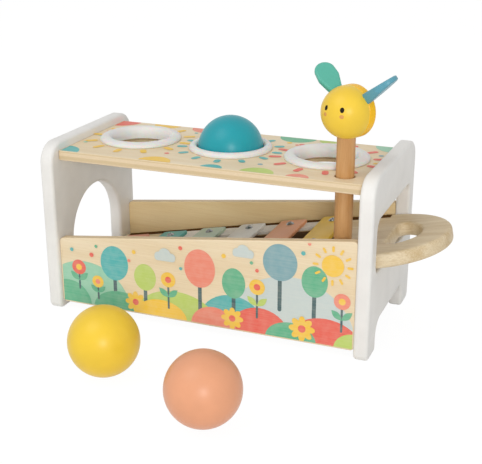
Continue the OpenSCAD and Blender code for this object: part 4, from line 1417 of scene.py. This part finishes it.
class BENCH_OT_keys(bpy.types.Operator):
    """Builds the felt rails and mats, the dark strips of painted gap shadow, the enamelled keys and their screws
    """

    bl_idname = "bench.keys"
    bl_label = "Keys"

    def execute(self, context):
        xylophone = context.scene.bench.xylophone
        place = slope_frame(xylophone)
        felt = pressed_felt("Pressed felt", xylophone.felt)
        self.rails(xylophone, place, felt)
        self.sheets(xylophone, place, felt)
        for number in range(xylophone.key_count):
            self.key(xylophone, place, number)
        self.screws(xylophone, place)
        return {"FINISHED"}

    def rails(self, xylophone, place, felt):
        """Two strips that spread up the slope, under the keys' ends."""
        first, last = rail_ends(xylophone)
        half, high, r = xylophone.rail_w / 2, xylophone.rail_h, 0.7 * MM
        lie = place @ Matrix.Translation((0, 0, high / 2))
        for node, side in (("front_rail", -1), ("back_rail", 1)):
            a, b = side * screw_y(xylophone, first), side * screw_y(xylophone, last)
            corners = [(first, a - half), (last, b - half), (last, b + half), (first, a + half)]
            loop = rounded([(u, v, r) for u, v in corners])
            shape = plate([(loop, xylophone.rail_edge_r)], high)
            stand_for(solid(node.replace("rail", "felt_rail"), shape, lie, felt), "xylophone", "felt", node)

    def sheets(self, xylophone, place, felt):
        """Pale mats by the rails; along the sides, dark strips of painted gap shadow ending inside the right
        panel.
        """
        edge, half = xylophone.half_w - xylophone.gap_shadow_in, xylophone.rail_w / 2
        low, high = key_u(xylophone, 1), rail_ends(xylophone)[1]
        low_y, high_y = screw_y(xylophone, low) + half, screw_y(xylophone, high) + half
        corners = [(low, low_y), (high, high_y), (high, edge), (low, edge)]
        self.sheet(xylophone, place, "felt_mat", corners, felt)
        start, outer = xylophone.base_corner_r, xylophone.half_w - xylophone.base_edge_r
        end = up_slope(place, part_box("right_end_panel")[0].x) - xylophone.gap_shadow_short
        # The dark strips are painted shadow: dark felt without sheen where the gap between the base and the walls
        # is in shade
        dark = pressed_felt("Dark felt", xylophone.glide, sheen=0)
        corners = [(start, edge), (end, edge), (end, outer), (start, outer)]
        self.sheet(xylophone, place, "glide_strip", corners, dark)

    def sheet(self, xylophone, place, name, corners, felt):
        """Thin felt on both sides of the base, pale or as dark painted gap shadow. The corners are those of the
        back one.
        """
        thick, r, edge = xylophone.sheet_t, 0.5 * MM, 0.15 * MM
        lie = place @ Matrix.Translation((0, 0, thick / 2))
        for where, side in (("front_", -1), ("back_", 1)):
            loop = rounded([(u, side * v, r) for u, v in corners[::side]])
            stand_for(solid(where + name, plate([(loop, edge)], thick), lie, felt), "xylophone", "felt")

    def key(self, xylophone, place, number):
        """One enamelled bar with eased edges."""
        node = "key_%d" % (number + 1)
        made = add_object(node + "_bar", [], [])
        tree, names = graded_key(enamel("Enamel, key %d" % (number + 1), getattr(xylophone, node)))
        run_tree(made, tree, names, {
            "Number": number,
            "First": xylophone.key_first,
            "Pitch": xylophone.key_pitch,
            "Width": xylophone.key_w,
            "Shortest": 2 * (xylophone.screw_first + xylophone.key_over),
            "Growth": 2 * xylophone.screw_step,
            "Thickness": xylophone.key_t,
            "Corner": xylophone.key_r,
            "Height": xylophone.rail_h,
            "Turn": (0, -slope_turn()[1], 0),
            "Origin": tuple(place.translation),
        })
        ease = made.modifiers.new("Eased edge", "BEVEL")
        ease.width = xylophone.key_edge_r
        ease.segments = 4
        ease.limit_method = "ANGLE"
        ease.angle_limit = math.radians(60)
        ease.harden_normals = True
        close_up(settle(made).data)
        slot = next(p["material_slot"] for p in frame["record"]["subparts"] if p["node"] == node)
        stand_for(made, "xylophone", slot, node)

    def screws(self, xylophone, place):
        """Round-head screws with a cross recess."""
        steel = plated_steel("Nickel-plated steel", xylophone.steel)
        made = self.screw(xylophone, steel)
        tree, names = screws_along_keys(steel)
        top = xylophone.rail_h + xylophone.key_t
        first, last = key_u(xylophone, 0), key_u(xylophone, xylophone.key_count - 1)
        run_tree(made, tree, names, {
            "Keys": xylophone.key_count,
            "First": (first, screw_y(xylophone, first), top),
            "Last": (last, screw_y(xylophone, last), top),
            "Turn": (0, -slope_turn()[1], 0),
            "Origin": tuple(place.translation),
            "Seed": 3,
        })
        stand_for(settle(made), "xylophone", "screw_steel", "key_screws")

    def screw(self, xylophone, steel):
        """One screw, with its recess cut by two crossed blades."""
        r, h, steps = xylophone.screw_r, xylophone.screw_h, 10
        rim, shoulder, clear = 0.12 * MM, 0.1 * MM, 1.0 * MM
        dome_r = (r * r + h * h) / (2 * h)
        reach = math.asin((r - shoulder) / dome_r)
        angles = [reach * k / steps for k in range(steps + 1)]
        dome = [(dome_r * math.sin(a), h - dome_r + dome_r * math.cos(a)) for a in angles]
        shape = lathe(dome + [(r, rim), (r, 0), (0, 0)], TURNED_STEPS // 4)
        made = solid("cross_screws", shape, Matrix.Identity(4), steel)
        long, wide, blades = xylophone.recess_l / 2, xylophone.recess_w / 2, []
        for name, x, y in (("slot_along", long, wide), ("slot_over", wide, long)):
            corners = [(x, y), (-x, y), (-x, -y), (x, -y)]
            verts = [(a, b, z) for z in (h - xylophone.recess_d, h + clear) for a, b in corners]
            sides = [(i, (i + 1) % 4, 4 + (i + 1) % 4, 4 + i) for i in range(4)]
            ends = [(3, 2, 1, 0), (4, 5, 6, 7)]
            blades.append(solid(name, (verts, sides + ends), Matrix.Identity(4), steel))
            cut = made.modifiers.new(name, "BOOLEAN")
            cut.object = blades[-1]
            cut.operation = "DIFFERENCE"
            cut.solver = "EXACT"
        settle(made)
        for blade in blades:
            bpy.data.objects.remove(blade)
        return made


class BENCH_OT_hidden_parts(bpy.types.Operator):
    """Finishes the runners, the joining pegs, the strip under the holes and the hammer's rest peg"""

    bl_idname = "bench.hidden_parts"
    bl_label = "Hidden parts"

    def execute(self, context):
        bench = context.scene.bench
        board, hammer = bench.boards, bench.hammer
        light, dark = bench.xylophone.wood_light, bench.xylophone.wood_dark
        along, over = (0, 0, 0), (0, 0, math.pi / 2)
        runner = planed_wood("Beech runner", light, dark, slope_turn(), (60, 5, 5))
        peg = planed_wood("Beech peg", light, dark, along, (20, 2, 2))
        rest = planed_wood("Beech rest peg", hammer.handle_light, hammer.handle_dark, over, (20, 2, 2))
        strip = planed_wood("Birch strip", board.face_dark, board.edge_dark, along, (90, 8, 8))
        for node, wood in (
            ("front_runner", runner),
            ("back_runner", runner),
            ("top_pegs", peg),
            ("front_wall_pegs", peg),
            ("back_wall_pegs", peg),
            ("hammer_rest", rest),
            ("collar_strip", strip),
        ):
            dress(node, wood)
        return {"FINISHED"}


class BENCH_OT_stage(bpy.types.Operator):
    """Builds the pale floor, the soft lamps and the camera"""

    bl_idname = "bench.stage"
    bl_label = "Stage"

    def execute(self, context):
        scene, stage = context.scene, context.scene.bench.stage
        scene.view_settings.view_transform = "Standard"
        self.floor(stage)
        self.world(scene, stage)
        aim = bench_middle() + Vector(stage.aim)
        self.lamp(scene, "Key lamp", aim, Vector(stage.key_place), stage.key_size, stage.key_power)
        self.lamp(scene, "Fill lamp", aim, Vector(stage.fill_place), stage.fill_size, stage.fill_power)
        self.camera(scene, stage)
        return {"FINISHED"}

    def seen(self, tree):
        """1 for what the camera sees, directly or mirrored, and 0 for light that falls on the object."""
        path = add_node(tree, "ShaderNodeLightPath").node.outputs
        share = path["Is Camera Ray"]
        for ray in ("Is Glossy Ray", "Is Transmission Ray"):
            share = add_node(tree, "ShaderNodeMath", {0: share, 1: path[ray]}, operation="MAXIMUM")
        return share

    def floor(self, stage):
        material = bpy.data.materials.new("Studio floor")
        material.use_nodes = True
        tree = material.node_tree
        tree.nodes.clear()
        matt = add_node(tree, "ShaderNodeBsdfDiffuse", {"Color": tuple(stage.floor)})
        glow = add_node(tree, "ShaderNodeEmission", {"Color": linear("#FFFFFF"), "Strength": stage.white})
        share = add_node(tree, "ShaderNodeMath", {0: self.seen(tree), 1: stage.glow}, operation="MULTIPLY")
        both = add_node(tree, "ShaderNodeMixShader", {0: share, 1: matt, 2: glow})
        add_node(tree, "ShaderNodeOutputMaterial", {"Surface": both})
        reach, under = 4.0, -0.1 * MM
        corners = [(x * reach, y * reach, under) for x, y in ((-1, -1), (1, -1), (1, 1), (-1, 1))]
        add_object("studio_floor", corners, [(0, 1, 2, 3)], material)

    def world(self, scene, stage):
        scene.world = bpy.data.worlds.new("Studio")
        scene.world.use_nodes = True
        tree = scene.world.node_tree
        tree.nodes.clear()
        levels = {"Value": self.seen(tree), "To Min": stage.ambient, "To Max": 1.0}
        strength = add_node(tree, "ShaderNodeMapRange", levels)
        light = add_node(tree, "ShaderNodeBackground", {"Color": linear("#FFFFFF"), "Strength": strength})
        add_node(tree, "ShaderNodeOutputWorld", {"Surface": light})

    def lamp(self, scene, name, aim, place, size, power):
        light = bpy.data.lights.new(name, "AREA")
        light.shape = "DISK"
        light.size = size
        light.energy = power
        made = bpy.data.objects.new(name, light)
        made.location = aim + place
        made.rotation_euler = (-place).to_track_quat("-Z", "Y").to_euler()
        scene.collection.objects.link(made)

    def camera(self, scene, stage):
        data = bpy.data.cameras.new("Photo camera")
        data.sensor_fit = "HORIZONTAL"
        data.sensor_width = 36
        data.lens = stage.lens
        made = bpy.data.objects.new("Photo camera", data)
        made.location = bench_middle() + Vector(stage.place)
        made.rotation_euler = (math.pi / 2 - stage.pitch, 0, stage.yaw)
        scene.collection.objects.link(made)
        scene.camera = made


STEPS = (
    "stage",
    "end_panels",
    "boards",
    "prints",
    "collars",
    "balls",
    "hammer",
    "xylophone_base",
    "keys",
    "hidden_parts",
)


class BENCH_PT_pieces(bpy.types.Panel):
    """Lists the bench's pieces and their settings"""

    bl_idname = "BENCH_PT_pieces"
    bl_label = "Pounding bench"
    bl_space_type = "VIEW_3D"
    bl_region_type = "UI"
    bl_category = "Bench"

    def draw(self, context):
        settings = context.scene.bench
        for step in STEPS:
            self.layout.operator("bench." + step)
        for piece in settings.__annotations__:
            box = self.layout.box()
            box.label(text=settings.bl_rna.properties[piece].name)
            part = getattr(settings, piece)
            for name in part.__annotations__:
                box.prop(part, name)


CLASSES = (
    EndPanelSettings, BoardSettings, CollarSettings, BallSettings, HammerSettings, XylophoneSettings,
    InkSettings, StageSettings, BenchSettings, BENCH_OT_stage, BENCH_OT_end_panels, BENCH_OT_boards,
    BENCH_OT_prints, BENCH_OT_collars, BENCH_OT_balls, BENCH_OT_hammer, BENCH_OT_xylophone_base,
    BENCH_OT_keys, BENCH_OT_hidden_parts, BENCH_PT_pieces,
)


def register():
    for cls in CLASSES:
        bpy.utils.register_class(cls)
    bpy.types.Scene.bench = group("Bench", "Settings of the pounding bench", BenchSettings)


def unregister():
    del bpy.types.Scene.bench
    for cls in reversed(CLASSES):
        bpy.utils.unregister_class(cls)


def main():
    register()
    for step in STEPS:
        getattr(bpy.ops.bench, step)()


if __name__ == "__main__":
    main()
